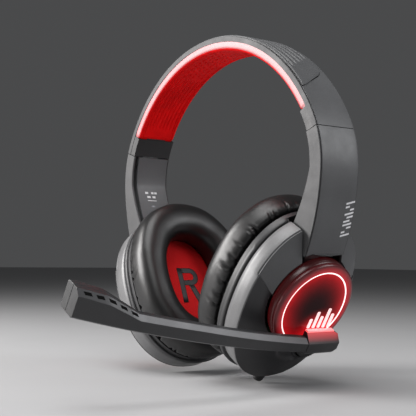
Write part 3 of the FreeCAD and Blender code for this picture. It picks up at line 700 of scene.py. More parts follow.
def pad_dip(length, y):
    """Hollows in the pad's underside: lengthwise ribs towards the ends, rows of short slots at the crown."""
    size = abs(length)
    across = abs(y)
    dip = 0.45 * (1 - smooth(abs(across - PAD_SEAM), 0.1, 0.75))
    if across < PAD_FIELD:
        dip += 0.25 * smooth(PAD_FIELD - across, 0.0, 0.6)
        ribs = smooth(size, PAD_CENTRE + 1, PAD_CENTRE + 6) * (1 - smooth(size, PAD_RIB_END - 4, PAD_RIB_END))
        wave = 0.5 - 0.5 * math.cos(2 * math.pi * y / PAD_RIB_PITCH)
        dip += 0.50 * ribs * wave ** 4
        row = round(y / SLOT_ROW)
        aside = abs(y - row * SLOT_ROW)
        shift = 0.5 * SLOT_PITCH if row % 2 else 0.0
        along = abs((length + shift + 0.5 * SLOT_PITCH) % SLOT_PITCH - 0.5 * SLOT_PITCH)
        if size < PAD_CENTRE and abs(row) <= 2:
            slot_end = smooth(along, 0.5 * SLOT_LENGTH - 0.35, 0.5 * SLOT_LENGTH)
            dip += 0.6 * ((1 - smooth(aside, 0.25, 0.6)) * (1 - slot_end))
    return dip


def pad_section(length):
    """(y, depth) ring of the pad at an arc length, finely divided below."""
    end = PAD_END - abs(length)
    shrink = 0.9 * (1 - smooth(end, 0.0, 2.2))
    half = PAD_HALF - 0.3 * shrink
    bottom = PAD_BOTTOM - shrink
    ring = [(-half, PAD_TOP + 0.05)]
    ring += [(-half - PAD_BELLY * math.sin(math.pi * step / 6), lerp(PAD_TOP, bottom - PAD_ROLL, step / 6))
             for step in range(1, 6)]
    for step in range(7):
        turn = math.radians(90 * step / 6)
        ring.append((-half + PAD_ROLL * (1 - math.cos(turn)), bottom - PAD_ROLL * (1 - math.sin(turn))))
    inner = half - PAD_ROLL
    for y in steps_between(-inner, inner, 2 * inner / 76)[1:-1]:
        ring.append((y, bottom - pad_dip(length, y) * (1 - shrink)))
    return ring + [(-y, depth) for y, depth in reversed(ring[:13])]


def crown_pad():
    """Soft red pad under the band."""
    rows = [[arch(angle_at(length), depth, y) for y, depth in pad_section(length)]
            for length in steps_between(-PAD_END, PAD_END, 0.55)]
    piece = new_piece("crown_pad", *grid(rows))
    # Side faces take the paler pink copy as painted highlight; the rest takes the vivid red.
    paint_faces(piece, (RED_PAD_SIDE_HIGHLIGHT, RED_UNDER),
                lambda face: abs(face.normal.y) < 0.82 or abs(face.center.y) < 13.0 * MM)
    finish(piece, "headband", "red_pad", None, ["headband_pad"], angle=60)


# ---------------- arms
PLATE_FRONT = -10.4
PLATE_REAR = 12.9
PLATE_RISE = 0.25
WALL_THICK = 1.3
GROOVE_DEPTH = 3.0
END_CIRCLE = 28.5             # radius that the arm's end follows round the boss


def arm_height(angle):
    """Depth of the arm's inner face below its outer face."""
    return interpolate(abs(angle), (SIDE_ANGLE, ARM_END_ANGLE), (ARM_TOP_HEIGHT, ARM_END_HEIGHT))


def arm_end(y):
    """Degrees that the arm's end is drawn further down: a little in the middle, most at the edges."""
    fall = END_CIRCLE - math.sqrt(END_CIRCLE ** 2 - (y - 1.9) ** 2)
    return math.degrees(abs(0.65 * fall - 1.3) / ARM_RADIUS)


def arm_piece(side, name, parts, slot, material, node=None, angle=32.0):
    """Piece of an arm, finished; it stands for a CAD node of the arm where one is named."""
    tail = "_" + SIDE_NAME[side]
    piece = new_piece(name + tail, *parts)
    finish(piece, "arm" + tail, slot, material, [node + tail] if node else (), angle=angle)


def arm_angles(side, start=JOINT_ANGLE + BAND_GAP, end=ARM_END_ANGLE):
    """Angles along an arm, from the parting line down."""
    return [side * angle for angle in steps_between(start, end, ARM_STEP)]


def arm_cover(side):
    """Dark outer cover of an arm, divided across so that its end can follow the boss."""
    across = (-9.0, -5.0, 0.0, 5.0, 9.0)
    section = COVER_SECTION[:10] + [(y, 0.0) for y in across] + COVER_SECTION[10:]
    section += [(-y, COVER_THICK) for y in across]
    parts = sweep(arm_angles(side), lambda angle: section, arm_end)
    arm_piece(side, "arm_cover", parts, "cover_plastic", COVER, "arm_outer_cover")


def arm_sides(side):
    """Grey core of an arm, open towards the head for the inner plate."""
    def section(angle):
        height = arm_height(angle)
        rim = [(BAND_HALF, 0.45), (BAND_HALF - 0.12, 0.2), (BAND_HALF - RIM + 0.1, 0.2),
               (BAND_HALF - RIM, 0.4), (BAND_HALF - RIM, RIM_FOOT)]
        top = [(y, max(depth, REAR_RIM)) for y, depth in rim] + [(-y, depth) for y, depth in reversed(rim)]
        front = [(-BAND_HALF, height - 0.6), (-BAND_HALF + 0.18, height - 0.18), (-BAND_HALF + 0.6, height),
                 (-BAND_HALF + WALL_THICK - 0.2, height), (-BAND_HALF + WALL_THICK, height - 0.3),
                 (-BAND_HALF + WALL_THICK, height - GROOVE_DEPTH)]
        rear = [(BAND_HALF - WALL_THICK, height - GROOVE_DEPTH), (BAND_HALF - WALL_THICK, height - 0.5),
                (BAND_HALF - 0.6, height - 0.2), (BAND_HALF, height - 0.8)]
        return top + front + rear
    parts = sweep(arm_angles(side), section, arm_end)
    arm_piece(side, "arm_sides", parts, "side_plastic", ARM_SIDES, "arm_side_frame", 18)


def arm_plate(side):
    """Plate on the face of an arm that looks at the head."""
    def section(angle):
        height = arm_height(angle) + PLATE_RISE
        corners = [(PLATE_FRONT, height - GROOVE_DEPTH), (PLATE_FRONT, height), (PLATE_REAR, height),
                   (PLATE_REAR, height - GROOVE_DEPTH)]
        return [tuple(point) for point in rounded(corners, 0.5, 3)]
    angles = arm_angles(side, JOINT_ANGLE + BAND_GAP + 0.25, ARM_END_ANGLE - 3)
    arm_piece(side, "arm_plate", sweep(angles, section), "cover_plastic", PLATE, "arm_inner_plate")


# generic slanted dashes printed on each arm, in a stack from an arc length down; each has shares of the width
PRINT_START = 159.6
PRINT_FRONT = 6.9
PRINT_DASHES = ((0.0, 1.0), (0.0, 0.45), (0.55, 1.0), (0.0, 1.0), (0.3, 1.0), (0.0, 0.7), (0.0, 1.0),
                (0.5, 1.0), (0.0, 0.4), (0.0, 1.0))
# tiny dashes on each plate: angle down the arm, height in degrees, then from and to across
PLATE_DASHES = ((94.9, 0.75, -4.6, -2.2), (94.9, 0.75, 0.2, 2.2), (94.9, 0.75, 2.8, 4.8),
                (96.4, 0.75, -3.4, -0.8), (96.4, 0.75, 0.8, 3.2), (98.0, 0.25, -3.4, 3.6))


def plate_print(side):
    """Tiny generic dashes on the plate that looks at the head."""
    parts = []
    for angle, tall, low, high in PLATE_DASHES:
        corners = ((0.05, low), (0.05, high), (-0.05, high), (-0.05, low))
        parts.append(grid([[arch(side * turn, arm_height(turn) + PLATE_RISE + lift, y) for lift, y in corners]
                           for turn in (angle, angle + tall)]))
    arm_piece(side, "plate_print", join_parts(parts), "cover_plastic", PRINT)


def arm_print(side):
    """Generic printed mark: a stack of slanted bars on the arm's outer face."""
    parts = []
    for index, (low, high) in enumerate(PRINT_DASHES):
        start = PRINT_START + 2.0 * index
        corners = [(start + 1.6 * (1 - share) + thick, PRINT_FRONT + 6.2 * share)
                   for share, thick in ((low, 0.0), (high, 0.0), (high, 1.0), (low, 1.0))]
        parts.append(grid([[arch(side * angle_at(length), depth, y) for length, y in corners]
                           for depth in (0.05, -0.06)]))
    arm_piece(side, "arm_print", join_parts(parts), "cover_plastic", PRINT)


# ---------------- cup helpers
def cup_matrix(side):
    """A cup's own frame: x across, y up, z outward, origin at the cushion seam."""
    lean = math.radians(TILT[side])
    turn = math.radians(CUP_YAW)
    forwards = math.sin(turn)
    sideways = side * math.cos(turn)
    outward = Vector((math.cos(lean) * sideways, math.cos(lean) * forwards, -math.sin(lean)))
    upward = Vector((math.sin(lean) * sideways, math.sin(lean) * forwards, math.cos(lean)))
    across = upward.cross(outward)
    pivot = Vector((side * PIVOT.x, PIVOT.y, PIVOT.z))
    centre = pivot - outward * PIVOT_OUT - upward * PIVOT_UP
    place = Matrix((across, upward, outward)).transposed().to_4x4()
    place.translation = centre * MM
    return place


PLACE = {side: cup_matrix(side) for side in (1, -1)}


def cup_piece(side, name, parts):
    """Piece in a cup's frame; parts are built with x negative to the front, whichever cup it is."""
    vertices, faces = parts
    turned = [(side * x, y, z) for x, y, z in vertices]
    return new_piece(name + "_" + SIDE_NAME[side], turned, faces, PLACE[side])


def bulged(value, power):
    """A sine or cosine as it is on a superellipse."""
    return math.copysign(abs(value) ** (2 / power), value)


def oval(half_x, half_y, z, centre_y=0.0, count=128, power=OVAL_POWER):
    """Superellipse ring, starting at the top and going to the front first."""
    turns = [2 * math.pi * index / count for index in range(count)]
    return [(bulged(-math.sin(turn), power) * half_x, bulged(math.cos(turn), power) * half_y + centre_y, z)
            for turn in turns]


def circle(radius, z, centre_y=DISC_UP, count=128):
    """Round ring, starting at the top and going to the front first."""
    return oval(radius, radius, z, centre_y, count, 2.0)


def lathe(profile):
    """Revolved solid from (radius, z) corners."""
    return grid([circle(radius, z, DISC_UP, 144) for radius, z in profile], round_rows=True, caps=False)


def cup_part(side, name, parts, slot, material, node=None, **shading):
    """Cup piece, finished; it stands for a CAD node of that cup where one is named."""
    tail = "_" + SIDE_NAME[side]
    piece = cup_piece(side, name, parts)
    return finish(piece, "cup" + tail, slot, material, [node + tail] if node else (), **shading)


# ---------------- cushions
CUSHION_X = CUP_X + CUSHION_MARGIN
CUSHION_Y = CUP_Y + CUSHION_MARGIN
SWELL_STEPS = 20              # frames of the cloth simulation
SWELL_CAP = 1.6               # the most that the simulation may move a point
MEAN_RADIUS = 44.0            # of the cushion's outer seam, to turn an angle into a distance
LUMP_HEIGHT = 0.35
LUMP_SIZE = 14.0
SOAK = 0.8                    # softens how the coarse copy's moves are shared out
PUCKER_COUNT = 40
PUCKER_DEPTH = 1.15
PUCKER_LIFT = 0.35            # how far the leather stands up beside a pucker, against its depth
SEAM_TUCK = 1.6


def cushion_rings(around, along):
    """Rings of the ear cushion: from the outer seam, round over the face, into the hole."""
    rows = []
    middle_x = 0.5 * (CUSHION_X + HOLE_X)
    middle_y = 0.5 * (CUSHION_Y + HOLE_Y)
    wide_x = 0.5 * (CUSHION_X - HOLE_X)
    wide_y = 0.5 * (CUSHION_Y - HOLE_Y)
    middle_z = -0.3 - 0.5 * CUSHION_THICK
    for index in range(along):
        turn = 2 * math.pi * index / along
        out = math.cos(turn)
        low = math.sin(turn)
        power = 2.5 if low < 0 else 3.4
        side = bulged(out, power)
        z = middle_z + 0.5 * CUSHION_THICK * bulged(low, power)
        rows.append(oval(middle_x + wide_x * side, middle_y + wide_y * side, z, 0.0, around))
    return rows


def swell(piece):
    """Blows a coarse copy of the cushion up a little as cloth, and moves the cushion's own points with it."""
    copy = piece.copy()
    copy.data = piece.data.copy()
    bpy.context.scene.collection.objects.link(copy)
    copy.matrix_world = Matrix()
    remesh = copy.modifiers.new("remesh", "REMESH")
    remesh.mode = "VOXEL"
    remesh.voxel_size = 3.4 * MM
    apply_modifiers(copy)
    rest = [vertex.co.copy() for vertex in copy.data.vertices]
    modifier = copy.modifiers.new("cloth", "CLOTH")
    settings = modifier.settings
    settings.use_pressure = True
    settings.uniform_pressure_force = 4.0
    settings.tension_stiffness = 12.0
    settings.bending_stiffness = 0.4
    settings.effector_weights.gravity = 0.0
    scene = bpy.context.scene
    for step in range(1, SWELL_STEPS + 1):
        scene.frame_set(step)
    apply_modifiers(copy)
    scene.frame_set(1)
    finder = kdtree.KDTree(len(rest))
    for index, start in enumerate(rest):
        finder.insert(start, index)
    finder.balance()
    moves = [vertex.co - start for vertex, start in zip(copy.data.vertices, rest)]
    for vertex in piece.data.vertices:
        total = Vector()
        weights = 0.0
        for _, index, distance in finder.find_n(vertex.co, 6):
            weight = 1 / (distance + SOAK * MM) ** 2
            total += moves[index] * weight
            weights += weight
        move = total / weights
        if move.length > SWELL_CAP * MM:
            move = move.normalized() * SWELL_CAP * MM
        vertex.co += move
    piece.data.update()
    bpy.data.objects.remove(copy)


def apply_modifiers(piece):
    """Puts the modifiers' result into the mesh."""
    graph = bpy.context.evaluated_depsgraph_get()
    mesh = bpy.data.meshes.new_from_object(piece.evaluated_get(graph))
    piece.modifiers.clear()
    piece.data = mesh


def gather(piece, seed):
    """Puckers the leatherette where it is drawn in at the outer seam, with a few longer creases."""
    dice = random.Random(seed)
    folds = []
    for index in range(PUCKER_COUNT):
        turn = 2 * math.pi * (index + dice.uniform(-0.35, 0.35)) / PUCKER_COUNT
        folds.append((turn, dice.uniform(6.0, 12.5), dice.uniform(0.65, 1.1), dice.uniform(0.9, 2.2),
                      dice.uniform(-0.05, 0.05)))
    mesh = piece.data
    normals = [vertex.normal.copy() for vertex in mesh.vertices]
    for vertex, normal in zip(mesh.vertices, normals):
        x, y, z = vertex.co / MM
        turn = math.atan2(-x / CUP_X, y / CUP_Y) % (2 * math.pi)
        outside = smooth(math.hypot(x / CUSHION_X, y / CUSHION_Y), 0.84, 0.93)
        depth = -z
        dip = 0.0
        for start, length, width, strength, slant in folds:
            offset = (turn - start - slant * depth / 10 + math.pi) % (2 * math.pi) - math.pi
            across = abs(offset) * MEAN_RADIUS
            if across > 3 * width:
                continue
            fade = (1 - smooth(depth, 0.35 * length, length)) * smooth(depth, -0.5, 1.2)
            lift = PUCKER_LIFT * math.exp(-(across / width / 2) ** 2)
            dip += strength * fade * (math.exp(-(across / width) ** 2) - lift)
        tuck = SEAM_TUCK * (1 - smooth(depth, 0.0, 3.2))
        lumps = LUMP_HEIGHT * noise.noise(Vector((x, y, z)) / LUMP_SIZE)
        vertex.co += normal * (-(dip * PUCKER_DEPTH + tuck) * outside + lumps) * MM
    mesh.update()


def ear_cushion(side):
    """Foam-filled leatherette ring."""
    rows = cushion_rings(360, 84)
    name = SIDE_NAME[side]
    piece = cup_piece(side, "cushion", grid(rows, round_rows=True, caps=False))
    swell(piece)
    gather(piece, 11 + side)
    finish(piece, "cup_" + name, "leatherette", HIDE, ["ear_cushion_" + name], angle=80)


# ---------------- speaker cloth and side letter
CLOTH_LEVEL = -2.2


def cloth_height(x, y):
    """Outward level of the speaker cloth, which bulges a little towards the ear."""
    return CLOTH_LEVEL - 1.2 * max(0.0, 1 - (x / HOLE_X) ** 2 - (y / HOLE_Y) ** 2)


def speaker_cloth(side):
    """Domed disc of red cloth behind the cushion's hole."""
    rows = []
    for share in (0.002, 0.15, 0.3, 0.45, 0.6, 0.75, 0.9, 1.0):
        ring = oval((HOLE_X + 1.6) * share, (HOLE_Y + 1.6) * share, 0.0, 0.0, 96)
        rows.append([(x, y, cloth_height(x, y)) for x, y, _ in ring])
    rows.append([(x, y, CLOTH_LEVEL + 0.7) for x, y, _ in rows[-1]])
    parts = grid(rows, caps=False)
    cup_part(side, "speaker_cloth", parts, "red_cloth", RED_CLOTH, "ear_cloth", angle=60)


LETTER_LOW = -13.0
LETTER_HIGH = 11.0
LETTER_LEFT = -5.0
LETTER_RIGHT = 10.0
STROKE = 3.6


def letter_outlines(side):
    """Quads of a plain block letter that says which ear the cup is for, x to the reader's right."""
    quads = []

    def bar(x_low, x_high, y_low, y_high):
        quads.append(((x_low, y_low), (x_high, y_low), (x_high, y_high), (x_low, y_high)))

    stem = LETTER_LEFT + STROKE
    bar(LETTER_LEFT, stem, LETTER_LOW, LETTER_HIGH)
    if side == 1:
        bar(stem, LETTER_RIGHT, LETTER_LOW, LETTER_LOW + STROKE)
        return quads
    waist = -1.2
    bowl_centre = 0.5 * (waist + LETTER_HIGH)
    bowl_outer = LETTER_HIGH - bowl_centre
    bowl_x = LETTER_RIGHT - bowl_outer
    bar(stem, bowl_x, LETTER_HIGH - STROKE, LETTER_HIGH)
    bar(stem, bowl_x, waist, waist + STROKE)
    inner = bowl_outer - STROKE
    turns = [math.radians(15 * index) for index in range(13)]
    for first, second in zip(turns, turns[1:]):
        corners = ((inner, first), (bowl_outer, first), (bowl_outer, second), (inner, second))
        quads.append(tuple((bowl_x + radius * math.sin(turn), bowl_centre + radius * math.cos(turn))
                           for radius, turn in corners))
    knee = 1.6
    quads.append(((knee, waist), (knee + STROKE + 0.6, waist), (LETTER_RIGHT + 0.8, LETTER_LOW),
                  (LETTER_RIGHT - STROKE - 0.2, LETTER_LOW)))
    return quads


def side_letter(side):
    """Black printed letter on the speaker cloth."""
    parts = []
    for quad in letter_outlines(side):
        corners = [Vector((-side * x, y)) for x, y in quad]
        fine = []
        for up in steps_between(0, 1, 0.2):
            row = [corners[0].lerp(corners[1], along).lerp(corners[3].lerp(corners[2], along), up)
                   for along in steps_between(0, 1, 0.2)]
            fine.append([(x, y, cloth_height(x, y) - 0.12) for x, y in row])
        parts.append(grid(fine, round_row=False, caps=False))
    piece = cup_part(side, "side_letter", join_parts(parts), "red_cloth", BLACK_PRINT)
    thick = piece.modifiers.new("print", "SOLIDIFY")
    thick.thickness = 0.08 * MM


# ---------------- cup housings
WALL_UP = 1.0                 # the wall's oval stands a little above the cushion's,
WALL_HALF_Y = CUP_Y - 1.3     # and is a little shorter
NOTCH_FRONT = -17.6
NOTCH_REAR = 13.8
# rim angle and boss angle, degrees from the top towards the front, of the crease where the wings end
CREASE_RIM = 70.8
CREASE_BOSS = 83.9
# levels of the outer face, from the cushion seam
WING_EDGE = 18.1
WING_TOP = 25.0
WING_CREASE_TOP = 24.4
SKIRT_TOP = 23.2
SKIRT_CROWN = 0.9
RECESS_X = 12.0
RECESS_Y = -27.5
RECESS_HALF_X = 17.0
RECESS_HALF_Y = 9.0
RECESS_DEPTH = 1.6


def rim_point(turn):
    """Point of the housing's rim in a direction seen from the disc's centre, found by halving."""
    low = 0.0
    high = 80.0
    direction = (-math.sin(turn), math.cos(turn))
    for _ in range(40):
        middle = 0.5 * (low + high)
        x = direction[0] * middle
        y = direction[1] * middle + DISC_UP - WALL_UP
        inside = abs(x / CUP_X) ** OVAL_POWER + abs(y / WALL_HALF_Y) ** OVAL_POWER < 1
        low, high = (middle, high) if inside else (low, middle)
    return direction[0] * low, direction[1] * low + DISC_UP


def rim_level(degrees):
    """Height of the wall's upper edge: an open seam runs under the wings."""
    return WING_EDGE - 0.75 if min(degrees, 360 - degrees) <= CREASE_RIM else WALL_TOP


def notch_angles():
    """Directions from the disc's centre where the rim meets the notch's sides, in degrees."""
    front = 0.0
    while rim_point(math.radians(front))[0] > NOTCH_FRONT:
        front += 0.25
    rear = 360.0
    while rim_point(math.radians(rear))[0] < NOTCH_REAR:
        rear -= 0.25
    return front, rear


NOTCH_ANGLES = notch_angles()


def boss_angle(degrees):
    """Direction of the boss edge that goes with a direction of the rim."""
    front, rear = NOTCH_ANGLES
    front_boss = math.degrees(math.asin(-NOTCH_FRONT * 0.90 / BOSS_EDGE))
    rear_boss = 360 - math.degrees(math.asin(NOTCH_REAR / BOSS_EDGE))
    return interpolate(degrees, (front, CREASE_RIM, 180, 360 - CREASE_RIM, rear),
                       (front_boss, CREASE_BOSS, 180, 360 - CREASE_BOSS, rear_boss))


def lip_dip(x, y):
    """The shallow finger recess below the disc, where the volume wheel stands out."""
    reach = math.hypot((x - RECESS_X) / RECESS_HALF_X, (y - RECESS_Y) / RECESS_HALF_Y)
    return RECESS_DEPTH * (1 - smooth(reach, 0.80, 1.0))


def cover_sheets():
    """Dark outer face: the front wing beside the arm, the lower skirt and the rear wing."""
    front, rear = NOTCH_ANGLES
    sheets = []
    spans = ((front, CREASE_RIM, True), (CREASE_RIM, 360 - CREASE_RIM, False), (360 - CREASE_RIM, rear, True))
    for start, end, is_wing in spans:
        rows = []
        for degrees in steps_between(start, end, 2.0):
            rim_x, rim_y = rim_point(math.radians(degrees))
            boss = math.radians(boss_angle(degrees))
            boss_x = -math.sin(boss) * BOSS_EDGE
            boss_y = math.cos(boss) * BOSS_EDGE + BOSS_UP
            aside = min(degrees, 360 - degrees)
            if is_wing:
                rim_z = WING_EDGE
                boss_z = interpolate(aside, (20.0, CREASE_RIM), (WING_TOP, WING_CREASE_TOP))
            else:
                rim_z = WALL_TOP
                boss_z = SKIRT_TOP
            row = []
            for share in steps_between(0, 1, 0.1 if is_wing else 0.05):
                x = lerp(rim_x, boss_x, share)
                y = lerp(rim_y, boss_y, share)
                z = lerp(rim_z, boss_z, share)
                if not is_wing:
                    z += SKIRT_CROWN * math.sin(math.pi * share)
                    z -= lip_dip(x, y)
                row.append((x, y, z))
            rows.append(row)
        sheets.append(grid(rows, round_row=False, caps=False))
    return sheets


def housing(side):
    """Outer face, side wall, bezel and boss of one cup."""
    name = SIDE_NAME[side]
    for label, sheet in zip(("wing_front", "skirt", "wing_rear"), cover_sheets()):
        is_skirt = label == "skirt"
        piece = cup_piece(side, "cup_" + label, sheet)
        orient_outward(piece)
        thick = piece.modifiers.new("shell", "SOLIDIFY")
        thick.thickness = 1.6 * MM
        thick.offset = -1.0
        if is_skirt and side == 1:
            wheel_opening(piece)
        # The skirt takes the darker copy of the cover plastic, as painted shade.
        finish(piece, "cup_" + name, "cover_plastic", SKIRT_PAINTED_SHADE if is_skirt else COVER,
               ["cup_cover_" + name] if is_skirt else (), 0.3, 40)
    wall_piece(side)
    bezel_piece(side)
    foot, top = 24.0, 28.9
    profile = [(24.6, foot), (26.6, foot), (26.8, 24.6), (27.1, 26.0), (27.2, 27.6), (27.1, 28.6),
               (26.8, top), (22.8, top), (22.8, 27.4), (24.6, 27.4)]
    rows = []
    for radius, z in profile:
        centre = lerp(BOSS_UP, DISC_UP, (z - foot) / (top - foot)) if radius > 25 else DISC_UP
        rows.append(circle(radius, z, centre))
    parts = grid(rows, round_rows=True, caps=False)
    # The boss's gloss black carries a painted red glow, stronger towards the disc.
    cup_part(side, "boss", parts, "gloss_black", GLOSS_RED_GLOW, "boss_ring", angle=60)


def bezel_piece(side):
    """Flange between two dark grooves, on a recessed sleeve; the flange stops beside the arm."""
    profile = [(-2.3, 0.05), (-1.2, 0.05), (-1.2, 3.2), (-0.35, 3.2), (0.0, 3.5), (0.0, 5.75), (-0.35, 6.1),
               (-1.2, 6.1), (-1.2, 7.25), (-2.3, 7.25)]
    rows = []
    for grow, z in profile:
        sunk = min(grow, -1.2)
        low = oval(CUP_X + sunk, CUP_Y + sunk, min(z, 2.9))
        full = oval(CUP_X + grow, CUP_Y + grow, z)
        rows.append([a if b[1] > 30 and NOTCH_FRONT < b[0] < NOTCH_REAR else b for a, b in zip(low, full)])
    parts = grid(rows, round_rows=True, caps=False)
    cup_part(side, "bezel", parts, "bezel_plastic", BEZEL, "bezel_ring", angle=50)


WHEEL_X = 21.0
WHEEL_Y = -24.0
WHEEL_OPENING = 11.2          # radius
LIP_START = 188               # degrees round the wheel
LIP_END = 305
LIP_RISE = 0.9


def wheel_opening(piece):
    """Cuts the volume wheel's opening in the left skirt and raises a lip round its lower side."""
    local = [vertex.co / MM for vertex in piece.data.vertices]
    rows = []
    for index in range(25):
        turn = math.radians(lerp(LIP_START, LIP_END, index / 24))
        rise = LIP_RISE * math.sin(math.pi * index / 24)
        row = []
        for reach, up in ((WHEEL_OPENING, -1.0), (WHEEL_OPENING, rise), (WHEEL_OPENING + 0.9, rise),
                          (WHEEL_OPENING + 1.7, 0.35 * rise), (WHEEL_OPENING + 1.9, -1.0)):
            x = WHEEL_X + reach * math.cos(turn)
            y = WHEEL_Y + reach * math.sin(turn)
            nearest = sorted(local, key=lambda point: (point.x - x) ** 2 + (point.y - y) ** 2)[:4]
            row.append((x, y, sum(point.z for point in nearest) / 4 + up))
        rows.append(row)
    # The lip takes the skirt's darker copy of the cover plastic: painted shade.
    cup_part(1, "wheel_lip", grid(rows), "cover_plastic", SKIRT_PAINTED_SHADE, angle=40)
    rows = [[(x + WHEEL_X, y, z) for x, y, z in circle(WHEEL_OPENING, level, WHEEL_Y, 64)]
            for level in (12.0, 30.0)]
    cutter = cup_piece(1, "wheel_cutter", grid(rows))
    cut = piece.modifiers.new("opening", "BOOLEAN")
    cut.object = cutter
    cut.solver = "EXACT"
    apply_modifiers(piece)
    bpy.data.objects.remove(cutter)


def orient_outward(piece):
    """Turns an open sheet's faces to look outward along the cup's z."""
    mesh = piece.data
    total = sum((face.normal * face.area for face in mesh.polygons), Vector())
    if total.z < 0:
        mesh.flip_normals()


def wall_piece(side):
    """Grey side wall, open at the notch, with a rounded upper edge."""
    front, rear = NOTCH_ANGLES
    rows = []
    for degrees in steps_between(front, rear, 1.5):
        x, y = rim_point(math.radians(degrees))
        top = rim_level(degrees) - 0.55
        size = math.hypot(x, y - WALL_UP)
        row = []
        for share, inset in ((0.0, 2.2), (0.0, 0.5), (0.03, 0.15), (0.3, 0.0), (0.6, 0.0), (0.94, 0.0),
                             (0.985, 0.18), (1.0, 0.55), (1.0, 2.2)):
            scale = (size - inset) / size
            row.append((x * scale, (y - WALL_UP) * scale + WALL_UP, lerp(WALL_BOTTOM, top, share)))
        rows.append(row)
    cup_part(side, "cup_wall", grid(rows), "side_plastic", SIDES, "cup_wall", angle=50)


# ---------------- lit disc
METER_HEIGHTS = (6.0, 10.5, 7.5, 12.5, 9.0)
METER_LEFT = 0.2
METER_PITCH = 3.9
METER_BAR = 2.2
METER_FOOT = -7.0


def lit_disc(side):
    """Collar, light ring, smoked lens and generic level-meter mark."""
    body, node = ("mic_boom", "boom_collar") if side == 1 else ("cup_right", "trim_ring_right")
    profile = [(22.5, 29.15), (27.0, 29.15), (27.3, 29.45), (27.3, 30.7), (27.05, 31.25), (26.2, 31.75),
               (24.4, 32.1), (22.8, 32.0), (22.5, 31.75)]
    piece = cup_piece(side, "collar", lathe(profile))
    # The collar carries a painted red glow, strongest next to the light ring.
    finish(piece, body, "gloss_black", COLLAR_RED_GLOW, [node], angle=60)
    profile = [(21.75, 28.0), (22.45, 28.0), (22.45, 31.65), (22.35, 31.75), (21.85, 31.75), (21.75, 31.65)]
    cup_part(side, "light_ring", lathe(profile), "light_pipe", LIGHT_PIPE, "light_ring", angle=50)
    rows = [circle(radius, z) for radius, z in ((0.01, 31.75), (8.0, 31.72), (15.0, 31.62), (21.4, 31.55),
                                                (21.7, 31.45), (21.7, 30.0), (0.01, 30.0))]
    cup_part(side, "lens", grid(rows, caps=False), "smoked_lens", LENS, "lens_disc", angle=50)
    parts = []
    for index, height in enumerate(METER_HEIGHTS):
        left = METER_LEFT + METER_PITCH * index
        outline = rounded([(left, METER_FOOT), (left + METER_BAR, METER_FOOT),
                           (left + METER_BAR, METER_FOOT + height), (left, METER_FOOT + height)], 0.7, 3)
        parts.append(grid([[(x, y, z) for x, y in outline] for z in (31.5, 31.95)]))
    cup_part(side, "level_mark", join_parts(parts), "light_pipe", GLYPH, angle=50)


# ---------------- boom
BOOM_FACE = 39.5
BOOM_CURVE = 24.0
BOOM_RISE = 0.088
BOOM_ROOT_Y = -17.4
# distance forward, face height, chamfer up, chamfer in, thickness
BOOM_STATIONS = (
    (1.8, 4.9, 2.1, 3.2, 7.0),
    (25.0, 5.4, 2.1, 3.2, 6.6),
    (38.0, 5.6, 2.1, 3.1, 6.8),
    (76.0, 6.3, 2.0, 3.0, 6.8),
    (110.0, 5.8, 2.4, 3.0, 7.2),
    (127.0, 10.6, 3.4, 3.0, 10.5),
    (140.0, 11.4, 3.0, 3.0, 12.0),
    (143.0, 11.2, 2.9, 3.0, 11.8),
)


def boom_sizes(forward):
    """Face height, chamfer up, chamfer in and thickness at a distance forward."""
    knots, *columns = zip(*BOOM_STATIONS)
    return [interpolate(forward, knots, column) for column in columns]


def boom_corners(forward):
    """Named levels of the bar's section at a distance forward."""
    face, chamfer_up, chamfer_in, thickness = boom_sizes(forward)
    bend = max(0.0, forward - 10.0) / 135.0
    outer = BOOM_FACE - BOOM_CURVE * bend * bend
    bottom = BOOM_ROOT_Y + BOOM_RISE * forward
    return outer, bottom, bottom + face, bottom + face + chamfer_up, chamfer_in, thickness


def boom_half(outer_side):
    """Outer or inner half of the boom's casing."""
    rows = []
    stops = steps_between(1.8, 110.0, 3.6)[:-1] + steps_between(110.0, 143.0, 2.2)
    for forward in stops:
        outer, bottom, shoulder, top, chamfer_in, thickness = boom_corners(forward)
        split = outer - 0.55 * thickness
        inner = outer - thickness
        low = bottom - 1.0
        if outer_side:
            corners = [(split + 0.06, low), (outer - 1.0, low), (outer, bottom), (outer, shoulder),
                       (outer - chamfer_in, top), (split + 0.06, top)]
        else:
            corners = [(split - 0.06, low), (split - 0.06, top), (inner + 1.0, top), (inner, top - 1.0),
                       (inner, bottom), (inner + 1.0, low)]
        rows.append([(-forward, y, z) for z, y in corners])
    return grid(rows)


